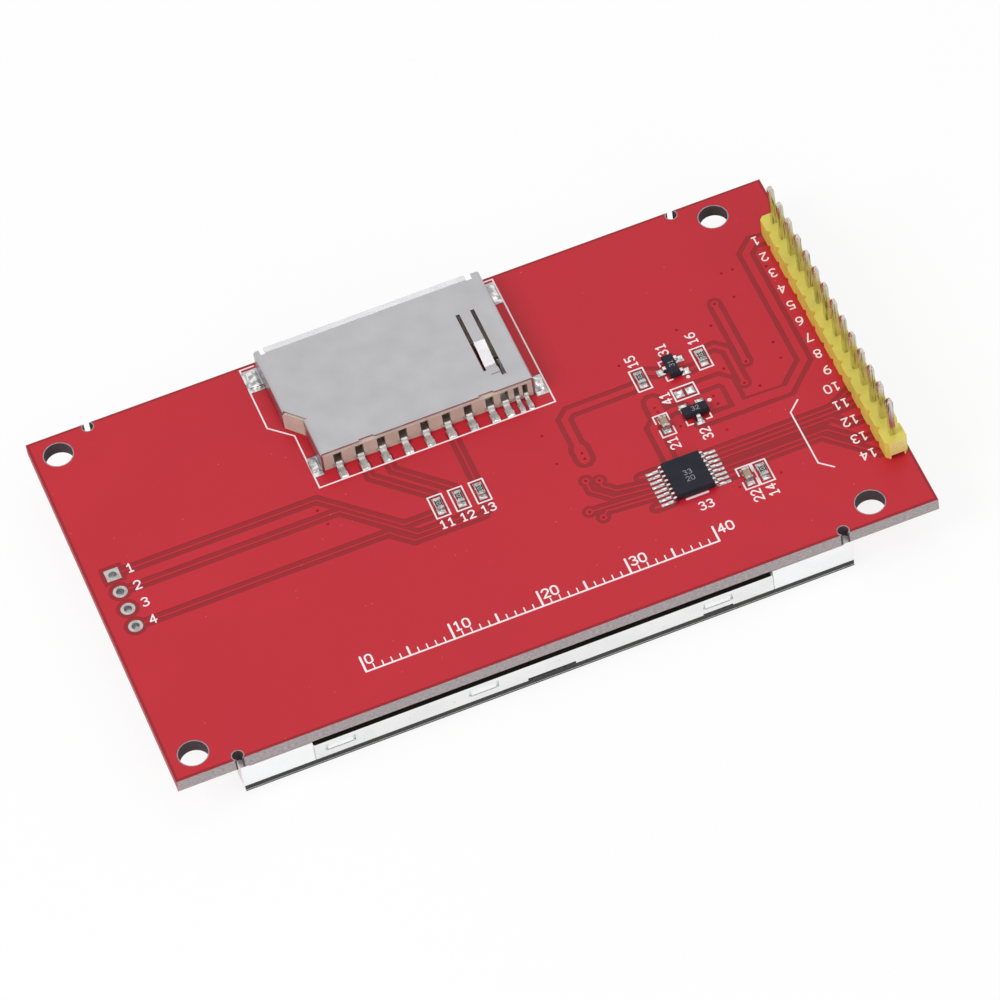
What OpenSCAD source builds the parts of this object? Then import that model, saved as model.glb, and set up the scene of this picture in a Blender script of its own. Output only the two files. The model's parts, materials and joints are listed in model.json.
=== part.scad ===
// Touch display module: a circuit board with a memory-card socket, a row of header pins and
// a touch controller on one side, and a colour display under a touch panel on the other.
//
// Millimetres, +Z up. The module lies on its display: the touch film is at Z = 0 and the
// origin is under the middle of the board. +X points at the pin header and +Y at the mouth
// of the card socket.

/* [Board] */
// Length of the circuit board, along X
board_l = 86; // [82:1:110]
// Width of the circuit board, along Y
board_w = 50; // [46:1:64]
// Thickness of the laminate
board_t = 1.6; // [1:0.1:2.4]
// Diameter of the four mounting holes
hole_d = 3.2; // [2.2:0.1:4]
// Mounting holes to the left edge
hole_inset_left = 2.85; // [2.5:0.05:4]
// Mounting holes to the right edge
hole_inset_right = 6.65; // [6:0.05:8]
// Mounting holes to the long edges
hole_inset_side = 2.8; // [2.5:0.05:4]
// Diameter of the notches that break the long edges
notch_d = 1.2; // [0.6:0.1:1.6]
// Thickness of the tinned copper lands
land_t = 0.04; // [0.02:0.01:0.07]

/* [Header] */
// Number of pins
pin_count = 14; // [4:1:14]
// Pin pitch
pin_pitch = 2.54; // [2:0.01:3]
// Side of the square pins
pin_w = 0.64; // [0.5:0.02:0.7]
// Pin length above the plastic
pin_above = 5.75; // [3:0.25:12]
// Pin length under the board
pin_below = 1.4; // [1:0.1:2.5]
// Width of the plastic strip
header_w = 2.54; // [2.2:0.02:3]
// Height of the plastic strip
header_h = 2.54; // [1.5:0.02:3.5]
// Row of pins to the right edge of the board
header_inset = 1.53; // [1.5:0.01:4]
// Drill of the plated pin holes
pin_drill = 1.1; // [1:0.05:1.2]

/* [Side pads] */
// Number of plated holes in the row on the left
side_count = 4; // [2:1:6]
// Drill of those holes
side_drill = 1.0; // [0.8:0.05:1.2]
// Diameter of their lands
side_land = 1.6; // [1.4:0.1:2]

/* [Card socket] */
// Width of the metal shell at the mouth
socket_w = 26.3; // [26.2:0.1:32]
// Depth of the shell, from its contact end to the mouth
socket_l = 16.85; // [16:0.05:24]
// Height of the shell above its solder lands
socket_h = 2.8; // [2.3:0.05:3.6]
// Thickness of the shell's sheet
sheet_t = 0.2; // [0.15:0.05:0.3]
// Left side of the shell, from the middle of the board
socket_x = -16.6; // [-20:0.1:-15]
// Mouth to the long edge of the board
socket_setback = 0.85; // [0:0.05:2]
// How much narrower the contact end is
socket_step = 1.7; // [1:0.1:2.5]
// Pitch of the contacts
contact_pitch = 2.5; // [2.3:0.1:2.5]
// Thickness of the contact springs
contact_t = 0.2; // [0.15:0.05:0.25]
// Width of the contact springs
contact_w = 0.7; // [0.5:0.05:0.8]

/* [Small parts] */
// Length of the chip resistors and capacitors
chip_l = 1.6; // [1:0.1:2]
// Width of the chip resistors and capacitors
chip_w = 0.8; // [0.5:0.05:1.25]
// Length of the touch controller's body
touch_chip_l = 5; // [4.8:0.1:6.5]
// Width of the touch controller's body
touch_chip_w = 4.4; // [3.6:0.1:5.4]
// Pitch of its leads
lead_pitch = 0.65; // [0.5:0.01:0.65]
// Thickness of all gull-wing leads
lead_t = 0.12; // [0.08:0.01:0.2]

/* [Display] */
// Length of the display, along X
screen_l = 69.2; // [56:0.1:71]
// Width of the display, along Y
screen_w = 50; // [46:0.5:60]
// Left end of the display to the left edge of the board
screen_inset = 6.9; // [6:0.1:9]
// Height of the white frame's ends
frame_h = 3.0; // [2.9:0.05:4]
// Height of the metal back of the display
back_h = 2.2; // [2.1:0.05:2.8]
// Thickness of the metal back
back_t = 0.2; // [0.15:0.05:0.3]
// Height of the corner posts that the board rests on
post_h = 0.15; // [0.15:0.05:0.6]
// Length of the left end block of the frame
block_left = 8; // [6:0.1:9]
// Length of the right end block of the frame
block_right = 9.2; // [8.5:0.1:10]
// Thickness of each display glass
glass_t = 0.5; // [0.3:0.05:0.55]
// Thickness of the touch panel's glass
touch_glass_t = 0.7; // [0.5:0.05:1.1]
// Thickness of the touch film
film_t = 0.18; // [0.1:0.01:0.3]

/* [Hidden] */

$fn = 48;
cut = 1;             // how far a cutting solid runs past what it cuts
slack = 0.05;        // clearance between two rigid pieces that slide together
bend_steps = 5;      // straight pieces in each bend of a folded sheet

// Heights of the stack, from the touch film up
spacer_t = 0.07;
gasket_t = 0.1;
glass_z = film_t + spacer_t;
gasket_z = glass_z + touch_glass_t;
frame_z = gasket_z + gasket_t;
board_z = frame_z + frame_h + post_h;
board_top = board_z + board_t;
mount_z = board_top + land_t;
back_top = frame_z + back_h;

// Layers inside the display, from its front face back
polarizer_t = 0.1;
sheet_film_t = 0.1;
filter_z = frame_z + polarizer_t;
tft_z = filter_z + glass_t;
rim_z = tft_z + glass_t;
upper_prism_z = rim_z + polarizer_t;
lower_prism_z = upper_prism_z + sheet_film_t;
diffuser_z = lower_prism_z + sheet_film_t;
guide_z = diffuser_z + sheet_film_t;
reflector_z = back_top - back_t - sheet_film_t;
guide_t = reflector_z - guide_z;

// Outline of the display and the windows in it
screen_x0 = -board_l / 2 + screen_inset;
screen_x1 = screen_x0 + screen_l;
screen_y = screen_w / 2;
back_x0 = screen_x0 + block_left + slack;
back_x1 = screen_x1 - block_right - slack;
rail_y = screen_y - back_t - slack;       // outside of the frame's rails, inside the metal back
rail_top = back_top - back_t;
side_wall = 0.85;                         // wall of the frame beside the glass
end_wall = 1.2;                           // wall of the frame past the ends of the glass
shelf = 0.7;                              // step that the rim tape sits on
contact_ledge = 5.1;                      // part of the rear glass that the front one leaves bare
lit_l = screen_l - 11.6;                  // length of the picture
lit_w = screen_w - 6.8;                   // width of the picture
lit_x0 = screen_x0 + 3.4;
touch_inset = 0.1;                        // touch panel inside the frame's outline

// Mounting holes, notches and rows of plated holes
hole_xs = [-board_l / 2 + hole_inset_left, board_l / 2 - hole_inset_right];
hole_y = board_w / 2 - hole_inset_side;
notch_xs = [screen_x0 + 0.1, screen_x1 - 0.8];
notch_y = board_w / 2 - 0.52;
header_x = board_l / 2 - header_inset;
side_x = -board_l / 2 + hole_inset_left;
side_pitch = 2.54;
side_y = 0.1;
plating = 0.05;
header_land = pin_drill + 0.6;

// Card socket, in its own frame: X from the left side, Y from the contact end
socket_y = board_w / 2 - socket_setback - socket_l;
card_w = 24.3;                            // bay for a card 24 mm wide
bay_x1 = socket_w - sheet_t - 0.75;
bay_x0 = bay_x1 - card_w;
floor_t = 0.4;
wall_y = 2;                               // thickness of the wall that carries the contacts
sill_z = 0.55;                            // contacts leave the wall over this sill
window_top = 2.1;
window_w = 0.95;
corner_y = 7.5;                           // the left side starts here, past the keyed corner
step_y = 5.35;                            // and the narrow end stops here
ear_y = socket_l - 0.15;
lip_y = socket_l - 0.9;
contact_x0 = bay_x0 + 2.55;
contact_xs = [for (i = [0:7]) contact_x0 + i * contact_pitch,
              contact_x0 + 7 * contact_pitch + 1.7];
switch_xs = [bay_x1 - 1.15, bay_x1 - 0.15];
switch_w = 0.45;
foot_y = -1.65;                           // outer end of every foot
peg_d = 1.2;
peg_xys = [[4.6, 12.6], [socket_w - 3.6, 12.6]];
tab_l = 2.6;
// Solder tabs: where the wall stands, how far the tab reaches out, its start along Y and length
tabs = [[0, -1.6, ear_y - tab_l, tab_l], [socket_w, 1.25, ear_y - tab_l, tab_l],
        [socket_step, -1, 0, 2.2], [socket_w, 1.2, 0, 2.2]];

// Small parts: centre and turn on the board
resistors = [[-5.27, -2.65, 90], [-2.94, -2.65, 90], [-0.56, -2.65, 90],
             [20.6, 4.1, 90], [27.68, 4.08, 90], [27.7, -13.4, 90]];
capacitors = [[20.6, -2.9, 90], [25.95, -13.4, 90]];
resistor_h = 0.5;
capacitor_h = 0.8;
end_l = 0.35;                             // length of a chip's metal end
end_t = 0.04;                             // and its thickness
chip_land = [0.9, 0.9];
sot_l = 2.9;
sot_w = 1.3;
sot_h = 0.8;
sot_reach = 1.5;                          // leads end this far from the middle of the body
sot_leads_at = [[-0.95, 1], [0.95, 1], [0, -1]];   // place along the body, and side
transistor_at = [24.2, 4.05, -90];
regulator_at = [24.25, -2.8, 0];
touch_chip_at = [20.2, -10.78, 0];
touch_chip_h = 0.85;
touch_reach = 1;                          // its leads end this far from its body
lead_count = 8;
jumper_at = [24.27, 0.42];
jumper_land = [0.95, 1];
jumper_pitch = 1.26;

/* Outlines of bent sheet and helpers */

function unit(v) = v / norm(v);
function left_of(d) = [-d.y, d.x];
function turned(d, a) = [d.x * cos(a) - d.y * sin(a), d.x * sin(a) + d.y * cos(a)];
function turn_between(u, v) = atan2(u.x * v.y - u.y * v.x, u * v);

// Points and directions along the bend of radius r at corner b of the line a, b, c
function bend(a, b, c, r) =
    let (u = unit(b - a), w = turn_between(u, unit(c - b)), s = sign(w),
         start = b - u * r * tan(abs(w) / 2), centre = start + left_of(u) * s * r)
    [for (i = [0:bend_steps])
        let (d = turned(u, w * i / bend_steps)) [centre - left_of(d) * s * r, d]];

// The same along a whole line, with a bend of radius r at each inner corner
function bent_line(path, r) =
    let (n = len(path))
    [[path[0], unit(path[1] - path[0])],
     for (i = [1:n - 2]) each bend(path[i - 1], path[i], path[i + 1], r),
     [path[n - 1], unit(path[n - 1] - path[n - 2])]];

// Outline of a sheet of thickness t whose middle follows the line
function sheet(path, r, t) =
    let (s = bent_line(path, r))
    concat([for (q = s) q[0] + left_of(q[1]) * t / 2],
           [for (i = [len(s) - 1:-1:0]) s[i][0] - left_of(s[i][1]) * t / 2]);

// A profile drawn in X and Z, pulled l along +Y
module along_y(l) translate([0, l, 0]) rotate([90, 0, 0]) linear_extrude(l) children();

// A profile drawn in Y and Z, pulled l along +X
module along_x(l) rotate([90, 0, 90]) linear_extrude(l) children();

// A block from x0 to x1 and y0 to y1 that stands on z, t high
module block(x0, x1, y0, y1, z, t) translate([x0, y0, z]) cube([x1 - x0, y1 - y0, t]);

// A block centred on Z that stands on z = 0
module slab(l, w, t) translate([-l / 2, -w / 2, 0]) cube([l, w, t]);

// A solid whose section in X, Z and in Y, Z is the same half outline of [offset, height]
module tapered_block(l, w, steps) intersection() {
    translate([0, -w, 0]) along_y(2 * w) polygon(both_sides(l / 2, steps));
    translate([-l, 0, 0]) along_x(2 * l) polygon(both_sides(w / 2, steps));
}
function both_sides(half, steps) =
    concat([for (s = steps) [half - s[0], s[1]]],
           [for (i = [len(steps) - 1:-1:0]) [steps[i][0] - half, steps[i][1]]]);

// A concave solder fillet of length l that climbs r up a wall at x = 0 and runs out to x = r
module fillet(l, r) translate([0, -l / 2, 0]) along_y(l) difference() {
    square(r);
    translate([r, r]) circle(r);
}

module at(place) translate([place.x, place.y, mount_z]) rotate(place.z) children();
module at_mounting_holes() for (x = hole_xs, y = [-hole_y, hole_y]) translate([x, y, 0]) children();
module at_notches() for (x = notch_xs, y = [-notch_y, notch_y]) translate([x, y, 0]) children();
module at_header_pins() for (i = [0:pin_count - 1])
    translate([header_x, (i - (pin_count - 1) / 2) * pin_pitch, 0]) children();
module at_side_pads() for ($i = [0:side_count - 1])
    translate([side_x, side_y + (side_count / 2 - 0.5 - $i) * side_pitch, 0]) children();
module at_socket() translate([socket_x, socket_y, mount_z]) children();

/* The board and its metal */

module through(d) translate([0, 0, board_z - cut]) cylinder(d = d, h = board_t + 2 * cut);

module circuit_board() color("crimson") difference() {
    translate([0, 0, board_z]) slab(board_l, board_w, board_t);
    at_mounting_holes() through(hole_d);
    at_notches() through(notch_d);
    at_header_pins() through(pin_drill);
    at_side_pads() through(side_drill);
    at_socket() for (p = peg_xys) translate([p.x, p.y, -mount_z]) through(peg_d + 2 * slack);
}

// A plated hole: a lining and a land on each face, square ones for the first of a row
module barrel(drill, land, is_square) translate([0, 0, board_z - land_t]) difference() {
    union() {
        cylinder(d = drill, h = board_t + 2 * land_t);
        for (z = [0, board_t + land_t]) translate([0, 0, z])
            if (is_square) slab(land, land, land_t);
            else cylinder(d = land, h = land_t);
    }
    translate([0, 0, -cut]) cylinder(d = drill - 2 * plating, h = board_t + 2 * cut + land_t);
}

module header_barrels() color("silver") at_header_pins() barrel(pin_drill, header_land, false);

module side_barrels() color("silver") at_side_pads() barrel(side_drill, side_land, $i == 0);

module chip_lands(reach) for (s = [-1, 1])
    translate([s * reach, 0, -land_t]) slab(chip_land.x, chip_land.y, land_t);

module sot_lands() for (p = sot_leads_at)
    translate([p.x, p.y * (sot_reach - 0.35), -land_t]) slab(0.9, 1.1, land_t);

module solder_lands() color("silver") {
    for (p = concat(resistors, capacitors)) at(p) chip_lands(chip_l / 2 - 0.05);
    at(transistor_at) sot_lands();
    at(regulator_at) sot_lands();
    at(touch_chip_at) for (i = [0:lead_count - 1], s = [-1, 1])
        translate([s * (touch_chip_w / 2 + touch_reach), lead_y(i), -land_t]) slab(1.6, 0.36, land_t);
    for (s = [-0.5, 0.5]) translate([jumper_at.x + s * jumper_pitch, jumper_at.y, board_top])
        slab(jumper_land.x, jumper_land.y, land_t);
    at_socket() {
        for (x = contact_xs) block(x - 0.48, x + 0.48, foot_y - 0.25, -0.55, -land_t, land_t);
        for (x = switch_xs) block(x - 0.32, x + 0.32, foot_y - 0.25, -0.55, -land_t, land_t);
        for (t = tabs) tab_land(t);
    }
}

module tab_land(t) block(min(t[0], t[0] + t[1] * 1.15), max(t[0], t[0] + t[1] * 1.15),
                         t[2] - 0.45, t[2] + t[3] + 0.2, -land_t, land_t);

/* Pin header */

// Half outline of the plastic strip: each position is a cell with cut corners
module header_outline() {
    corner = 0.4;
    half = header_w / 2;
    ys = [for (i = [0:pin_count]) (i - pin_count / 2) * pin_pitch];
    right = [for (i = [0:pin_count - 1]) each
        [[half - corner, ys[i]], [half, ys[i] + corner], [half, ys[i + 1] - corner]]];
    polygon(concat(right, [[half - corner, ys[pin_count]]], -right, [[corner - half, ys[0]]]));
}

module header_housing() color("gold") translate([0, 0, board_top]) difference() {
    translate([header_x, 0, 0]) linear_extrude(header_h) header_outline();
    at_header_pins() {
        translate([0, 0, -cut]) slab(pin_w, pin_w, header_h + 2 * cut);
        translate([0, 0, -cut]) cylinder(d = header_land + 0.2, h = 0.3 + cut);
    }
    // groove along the underside, open at both ends
    block(header_x - 0.75, header_x + 0.75, -board_w / 2, board_w / 2, -cut, 0.5 + cut);
}

module header_pins() color("lightgoldenrodyellow") at_header_pins()
    translate([0, 0, board_z - pin_below]) {
        l = pin_below + board_t + header_h + pin_above;
        point = 0.45;
        blunt = 0.2;
        tapered_block(pin_w, pin_w, [[blunt, 0], [0, point], [0, l - point], [blunt, l]]);
    }

module header_solder() color("gainsboro") at_header_pins() difference() {
    r = header_land / 2 - 0.05;
    climb = r - pin_w / 2;
    union() {
        translate([0, 0, board_z - land_t])
            cylinder(d = pin_drill - 2 * plating, h = board_t + 2 * land_t);
        translate([0, 0, board_z - land_t]) mirror([0, 0, 1]) rotate_extrude() difference() {
            square([r, climb]);
            translate([r, climb]) circle(climb);
        }
    }
    translate([0, 0, board_z - pin_below - cut]) slab(pin_w, pin_w, board_t + pin_below + 2 * cut);
}

/* Card socket */

// Folded section of the shell between two side walls
module channel(x0, x1) {
    foot = 0.3;
    polygon(sheet([[x0 + sheet_t / 2, foot], [x0 + sheet_t / 2, socket_h - sheet_t / 2],
                   [x1 - sheet_t / 2, socket_h - sheet_t / 2], [x1 - sheet_t / 2, foot]],
                  0.3, sheet_t));
}

// A tab that turns out from the foot of a side wall
module tab(t) {
    side = sign(t[1]);
    wall_x = t[0] - side * sheet_t / 2;
    translate([0, t[2], 0]) along_y(t[3])
        polygon(sheet([[t[0] + t[1], sheet_t / 2], [wall_x, sheet_t / 2], [wall_x, 0.9]], 0.22, sheet_t));
}

slit_w = 0.45;
tongue_w = 1.25;
tongue_x = socket_w - 4.1;
tongue_y0 = 3.1;
tongue_y1 = 11.8;

module socket_shell() color("silver") at_socket() {
    top = socket_h - sheet_t / 2;
    difference() {
        union() {
            along_y(step_y) channel(socket_step, socket_w);
            translate([0, step_y, 0]) along_y(ear_y - step_y) channel(0, socket_w);
            for (t = tabs) tab(t);
        }
        // keyed corner: the cut runs a little past the narrow side, as a relief for the fold
        translate([0, 0, -cut]) linear_extrude(socket_h + 2 * cut) polygon([
            [-cut, step_y], [-cut, corner_y], [sheet_t, corner_y],
            [socket_step + 0.45, step_y]]);
        // slits beside the leaf spring
        block(tongue_x - slit_w, tongue_x + tongue_w, tongue_y0, tongue_y1, socket_h - cut, 2 * cut);
        block(tongue_x + tongue_w - 0.05, tongue_x + tongue_w + slit_w, tongue_y0 - 1.4, tongue_y1,
              socket_h - cut, 2 * cut);
        // coined mark in front of it
        block(tongue_x + 0.15, tongue_x + 1.15, tongue_y0 - 0.95, tongue_y0 - 0.7, socket_h - 0.08, cut);
        // mouth between the ears
        block(0.65, socket_w - 1, lip_y, socket_l, socket_h - cut, 2 * cut);
        // shallow steps in the front edge
        for (x = [6.2, 20]) block(x, x + 1.7, -cut, 0.2, socket_h - 0.5, cut);
    }
    // flared lip
    translate([1.2, 0, 0]) along_x(socket_w - 2.9) polygon(
        sheet([[lip_y - 0.2, top], [lip_y + 0.15, top], [ear_y + 0.05, top + 0.12]], 0.5, sheet_t));
    // leaf spring that presses on the card
    translate([tongue_x, 0, 0]) along_x(tongue_w) polygon(
        sheet([[tongue_y1, top], [7.4, top], [4.2, top - 0.75], [3.5, top - 0.65]], 0.5, sheet_t));
}

// Plan of the insulator: inside the shell, and flush with it at the keyed corner
module housing_plan() {
    left = sheet_t + slack;
    right = socket_w - sheet_t - slack;
    narrow = socket_step + left;
    back = socket_l - 1.4;
    polygon([[narrow, 0], [right, 0], [right, back], [left, back], [left, corner_y - slack],
             [0, corner_y - slack], [socket_step + 0.1, step_y + slack], [narrow, step_y + slack]]);
}

module card_bay() {
    key = 1.9;
    polygon([[bay_x0 + key, wall_y], [bay_x1, wall_y], [bay_x1, socket_l], [bay_x0, socket_l],
             [bay_x0, corner_y + 0.4], [bay_x0 + key, corner_y + 0.4 - key]]);
}

module socket_housing() color("rosybrown") at_socket() {
    top = socket_h - sheet_t;
    bevel = 0.35;
    fold_bevel = 0.2;
    difference() {
        linear_extrude(top) housing_plan();
        translate([0, 0, floor_t]) linear_extrude(top) card_bay();
        // bevel along the top of the contact wall
        along_x(socket_w) polygon([[-cut, top + cut], [-cut, top - bevel - cut],
                                   [bevel + cut, top + cut]]);
        // and along its sides, under the folds of the shell
        for (side = [[sheet_t + slack, -1, corner_y - 0.6, socket_l],
                     [socket_step + sheet_t + slack, -1, -cut, step_y + slack],
                     [socket_w - sheet_t - slack, 1, -cut, socket_l]])
            translate([side[0], side[2], top]) along_y(side[3] - side[2])
                polygon([[-side[1] * fold_bevel, 0], [side[1] * cut, 0], [side[1] * cut, -fold_bevel - cut],
                         [0, -fold_bevel]]);
        for (x = contact_xs) contact_cut(x, window_w, 9.3);
        for (x = switch_xs) contact_cut(x, switch_w + 0.15, 6.4);
        // bare middle of the floor, between the spring slots and the mouth
        block(4.5, socket_w - 4.5, 10.3, socket_l, -cut, 2 * cut + floor_t);
    }
    for (p = peg_xys) translate([p.x, p.y, -1.2]) cylinder(d = peg_d, h = 1.2);
}

// A window over the sill and the slot under a spring
module contact_cut(x, w, end) {
    block(x - w / 2, x + w / 2, -cut, wall_y + cut, sill_z, window_top - sill_z);
    block(x - w / 2, x + w / 2, 0.8, end, -cut, cut + 1);
}

// A spring: foot on the board, up the wall, over the sill and out under the card
module spring(w, reach, rise) {
    t = contact_t;
    riser = -t / 2 - 0.06;
    over = sill_z + t / 2 + 0.03;
    line = [[foot_y, t / 2], [riser, t / 2], [riser, over], [1.05, over], [1.5, t], [3.1, t],
            [reach - 1.1, rise], [reach, rise - 0.35]];
    translate([-w / 2, 0, 0]) along_x(w) polygon(sheet(line, 0.2, t));
    // shoulders that stop the spring against the wall, and the wider end of the foot
    ear = 0.42 * w;
    block(-w / 2 - ear, w / 2 + ear, riser - t / 2, riser + t / 2, sill_z - 0.25, 0.3);
    block(-0.67 * w, 0.67 * w, foot_y, foot_y + 0.45, 0, t);
}

module socket_contacts() color("khaki") at_socket()
    for (x = contact_xs) translate([x, 0, 0]) spring(contact_w, 8.7, 1.2);

module socket_switch_springs() color("khaki") at_socket()
    for (x = switch_xs) translate([x, 0, 0]) spring(switch_w, 5.8, 0.9);

module socket_solder() color("gainsboro") at_socket() {
    for (x = contact_xs) translate([x, foot_y, 0]) rotate(-90) fillet(contact_w + 0.2, contact_t);
    for (x = switch_xs) translate([x, foot_y, 0]) rotate(-90) fillet(switch_w + 0.1, contact_t);
    for (t = tabs)
        translate([t[0] + t[1] / 2, t[2], 0]) rotate(-90) fillet(abs(t[1]) - 0.1, sheet_t + 0.15);
}

/* Small parts */

// C-shaped metal end of a chip at x = -chip_l / 2
module chip_end(h, wraps_sides) translate([-chip_l / 2, -chip_w / 2, 0]) difference() {
    cube([end_l, chip_w, h]);
    inset = wraps_sides ? end_t : -cut;
    translate([end_t, inset, end_t]) cube([end_l, chip_w - 2 * inset, h - 2 * end_t]);
}

module chip_core(h, side) translate([0, 0, end_t])
    slab(chip_l - 2 * end_t, chip_w - 2 * side, h - 2 * end_t);

module resistor_ceramics() color("white") for (p = resistors) at(p) chip_core(resistor_h, 0);

module resistor_ends() color("silver") for (p = resistors) at(p)
    for (turn = [0, 180]) rotate(turn) chip_end(resistor_h, false);

module resistor_coats() color("black") for (p = resistors) at(p)
    translate([0, 0, resistor_h - end_t]) slab(chip_l - 2 * end_l, chip_w - 0.06, end_t);

module capacitor_ceramics() color("tan") for (p = capacitors) at(p) chip_core(capacitor_h, end_t);

module capacitor_ends() color("silver") for (p = capacitors) at(p)
    for (turn = [0, 180]) rotate(turn) chip_end(capacitor_h, true);

standoff = 0.1;      // gap under a moulded body

// Moulded body with draft to both sides of the plane that its leads leave in
module moulded_body(l, w, h) translate([0, 0, standoff]) {
    draft = 0.1;
    tapered_block(l, w, [[draft, 0], [0, h * 0.45], [0, h * 0.55], [draft, h]]);
}

// A gull-wing lead: leaves a body at x = start, ends at x = reach
module gull_wing(start, reach, z, w) translate([0, w / 2, 0]) rotate([90, 0, 0]) linear_extrude(w)
    polygon(sheet([[start, z], [start + 0.3, z], [start + 0.42, lead_t / 2], [reach, lead_t / 2]],
                  lead_t, lead_t));

function lead_y(i) = (i - (lead_count - 1) / 2) * lead_pitch;

module sot_leads() for (p = sot_leads_at) translate([p.x, 0, 0]) rotate(p.y * 90)
    gull_wing(sot_w / 2, sot_reach, standoff + sot_h / 2, 0.42);

module touch_controller_body() color("dimgray") at(touch_chip_at)
    moulded_body(touch_chip_w, touch_chip_l, touch_chip_h);

module touch_controller_leads() color("silver") at(touch_chip_at)
    for (i = [0:lead_count - 1], side = [0, 180]) rotate(side) translate([0, lead_y(i), 0])
        gull_wing(touch_chip_w / 2, touch_chip_w / 2 + touch_reach, standoff + touch_chip_h / 2, 0.22);

module regulator_body() color("dimgray") at(regulator_at) moulded_body(sot_l, sot_w, sot_h);
module regulator_leads() color("silver") at(regulator_at) sot_leads();
module transistor_body() color("dimgray") at(transistor_at) moulded_body(sot_l, sot_w, sot_h);
module transistor_leads() color("silver") at(transistor_at) sot_leads();

module chip_solder() color("gainsboro") {
    for (p = concat(resistors, capacitors)) at(p) for (turn = [0, 180]) rotate(turn)
        translate([chip_l / 2, 0, 0]) fillet(chip_w, 0.3);
    at(touch_chip_at) for (i = [0:lead_count - 1], side = [0, 180]) rotate(side)
        translate([touch_chip_w / 2 + touch_reach, lead_y(i), 0]) fillet(0.3, lead_t);
    for (place = [transistor_at, regulator_at]) at(place) for (p = sot_leads_at)
        translate([p.x, p.y * sot_reach, 0]) rotate(p.y * 90) fillet(0.7, lead_t);
}

/* Display */

// Tape between the display's back and the board, clear of the ribbon
module foam_tape() color("white") {
    t = board_z - back_top;
    y = screen_y - 3;
    block(back_x0 + 1, back_x0 + 13, -y, y, back_top, t);
    block(back_x0 + 16, back_x1 - 18, -y, y, back_top, t);
    for (s = [-1, 1]) translate([0, s * (y + 10) / 2, 0])
        block(back_x1 - 16, back_x1 - 1, 5 - y / 2, y / 2 - 5, back_top, t);
}

// Windows for the frame's clips, from either end of the metal back
clip_w = 3.4;
clip_xs = [back_x0 + 2.9, back_x0 + 19, back_x1 - 6.35];
clip_z = frame_z + 0.85;
fold_z = back_top - 0.35;

module display_back() color("silver") difference() {
    y = screen_y - back_t / 2;
    top = back_top - back_t / 2;
    translate([back_x0, 0, 0]) along_x(back_x1 - back_x0)
        polygon(sheet([[-y, frame_z], [-y, top], [y, top], [y, frame_z]], 0.35, back_t));
    for (x = clip_xs)
        block(x - clip_w / 2, x + clip_w / 2, -screen_y - cut, screen_y + cut, clip_z, fold_z - clip_z);
    // shallow scallops in the lower edge
    block(back_x0 + 23.9, back_x0 + 29.3, -screen_y - cut, screen_y + cut, frame_z - cut, cut + 0.35);
    block(back_x1 - 8.1, back_x1 - 4.7, -screen_y - cut, screen_y + cut, frame_z - cut, cut + 0.2);
}

post_l = 1;          // corner posts, along X
post_w = 2.5;        // and along Y

// White moulded frame: two end blocks, two rails inside the metal back, clips and posts
module display_frame() color("whitesmoke") difference() {
    union() {
        block(screen_x0, screen_x0 + block_left, -screen_y, screen_y, frame_z, frame_h);
        block(screen_x1 - block_right, screen_x1, -screen_y, screen_y, frame_z, frame_h);
        translate([screen_x0 + 1, 0, 0]) along_x(screen_l - 2)
            polygon(both_sides(rail_y, [[0, frame_z], [0, rail_top - 0.2], [0.2, rail_top]]));
        for (x = [screen_x0, screen_x1 - post_l], y = [-screen_y, screen_y - post_w])
            block(x, x + post_l, y, y + post_w, board_z - post_h, post_h);
        for (x = clip_xs) translate([x - clip_w / 2 + 0.3, 0, 0]) along_x(clip_w - 0.6) clip_noses();
    }
    end = screen_x1 - end_wall;
    glass_y = rail_y - side_wall;
    // pocket for the two glasses, open to the front
    block(screen_x0 + end_wall - 0.2, end, -glass_y, glass_y,
          frame_z - cut, cut + rim_z + polarizer_t - frame_z);
    // pocket for the light guide, its sheets and the lamps
    block(light_x0 - 0.1, lamp_x1 + 0.2, shelf - glass_y, glass_y - shelf, frame_z, rail_top - frame_z);
    // the metal back closes the middle
    block(screen_x0 + block_left, screen_x1 - block_right, -rail_y + 2, rail_y - 2, frame_z, frame_h + cut);
    // mouth for the ribbon
    block(end - cut, screen_x1 + cut, -ribbon_w / 2 - 0.3, ribbon_w / 2 + 0.3,
          frame_z - cut, cut + tft_z - frame_z + 0.1);
}

// Wedges that snap into the windows of the metal back
module clip_noses() {
    out = screen_y - 0.03;
    for (s = [-1, 1]) polygon([[s * (rail_y - 0.3), clip_z + 0.1], [s * out, clip_z + 0.1],
                               [s * out, clip_z + 0.35], [s * rail_y, fold_z - 0.1],
                               [s * (rail_y - 0.3), fold_z - 0.1]]);
}

light_x0 = screen_x0 + 1.8;
light_x1 = lit_x0 + lit_l + 1;
lamp_x1 = light_x1 + 3.1;
light_y = rail_y - side_wall - shelf - 0.15;
ribbon_w = min(30, screen_w - 16);
glass_x0 = screen_x0 + end_wall;
glass_x1 = screen_x1 - end_wall - 0.2;
glass_half = rail_y - side_wall - 0.1;

// One layer of the light guide's stack
module light_layer(z, t) block(light_x0, light_x1, -light_y, light_y, z, t);

module reflector() color("white") light_layer(reflector_z, sheet_film_t);
module light_guide() color("aliceblue") light_layer(guide_z, guide_t);
module diffuser() color("snow") light_layer(diffuser_z, sheet_film_t);
module lower_prism_sheet() color("lavender") light_layer(lower_prism_z, sheet_film_t);
module upper_prism_sheet() color("lavender") light_layer(upper_prism_z, sheet_film_t);

polarizer_lap = 0.9;
lamp_t = 0.6;
lamp_w = 3;
lamp_count = 4;

module led_strip() color("orange")
    block(light_x1 + 0.1, lamp_x1, -light_y, light_y, reflector_z, sheet_film_t);

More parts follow.
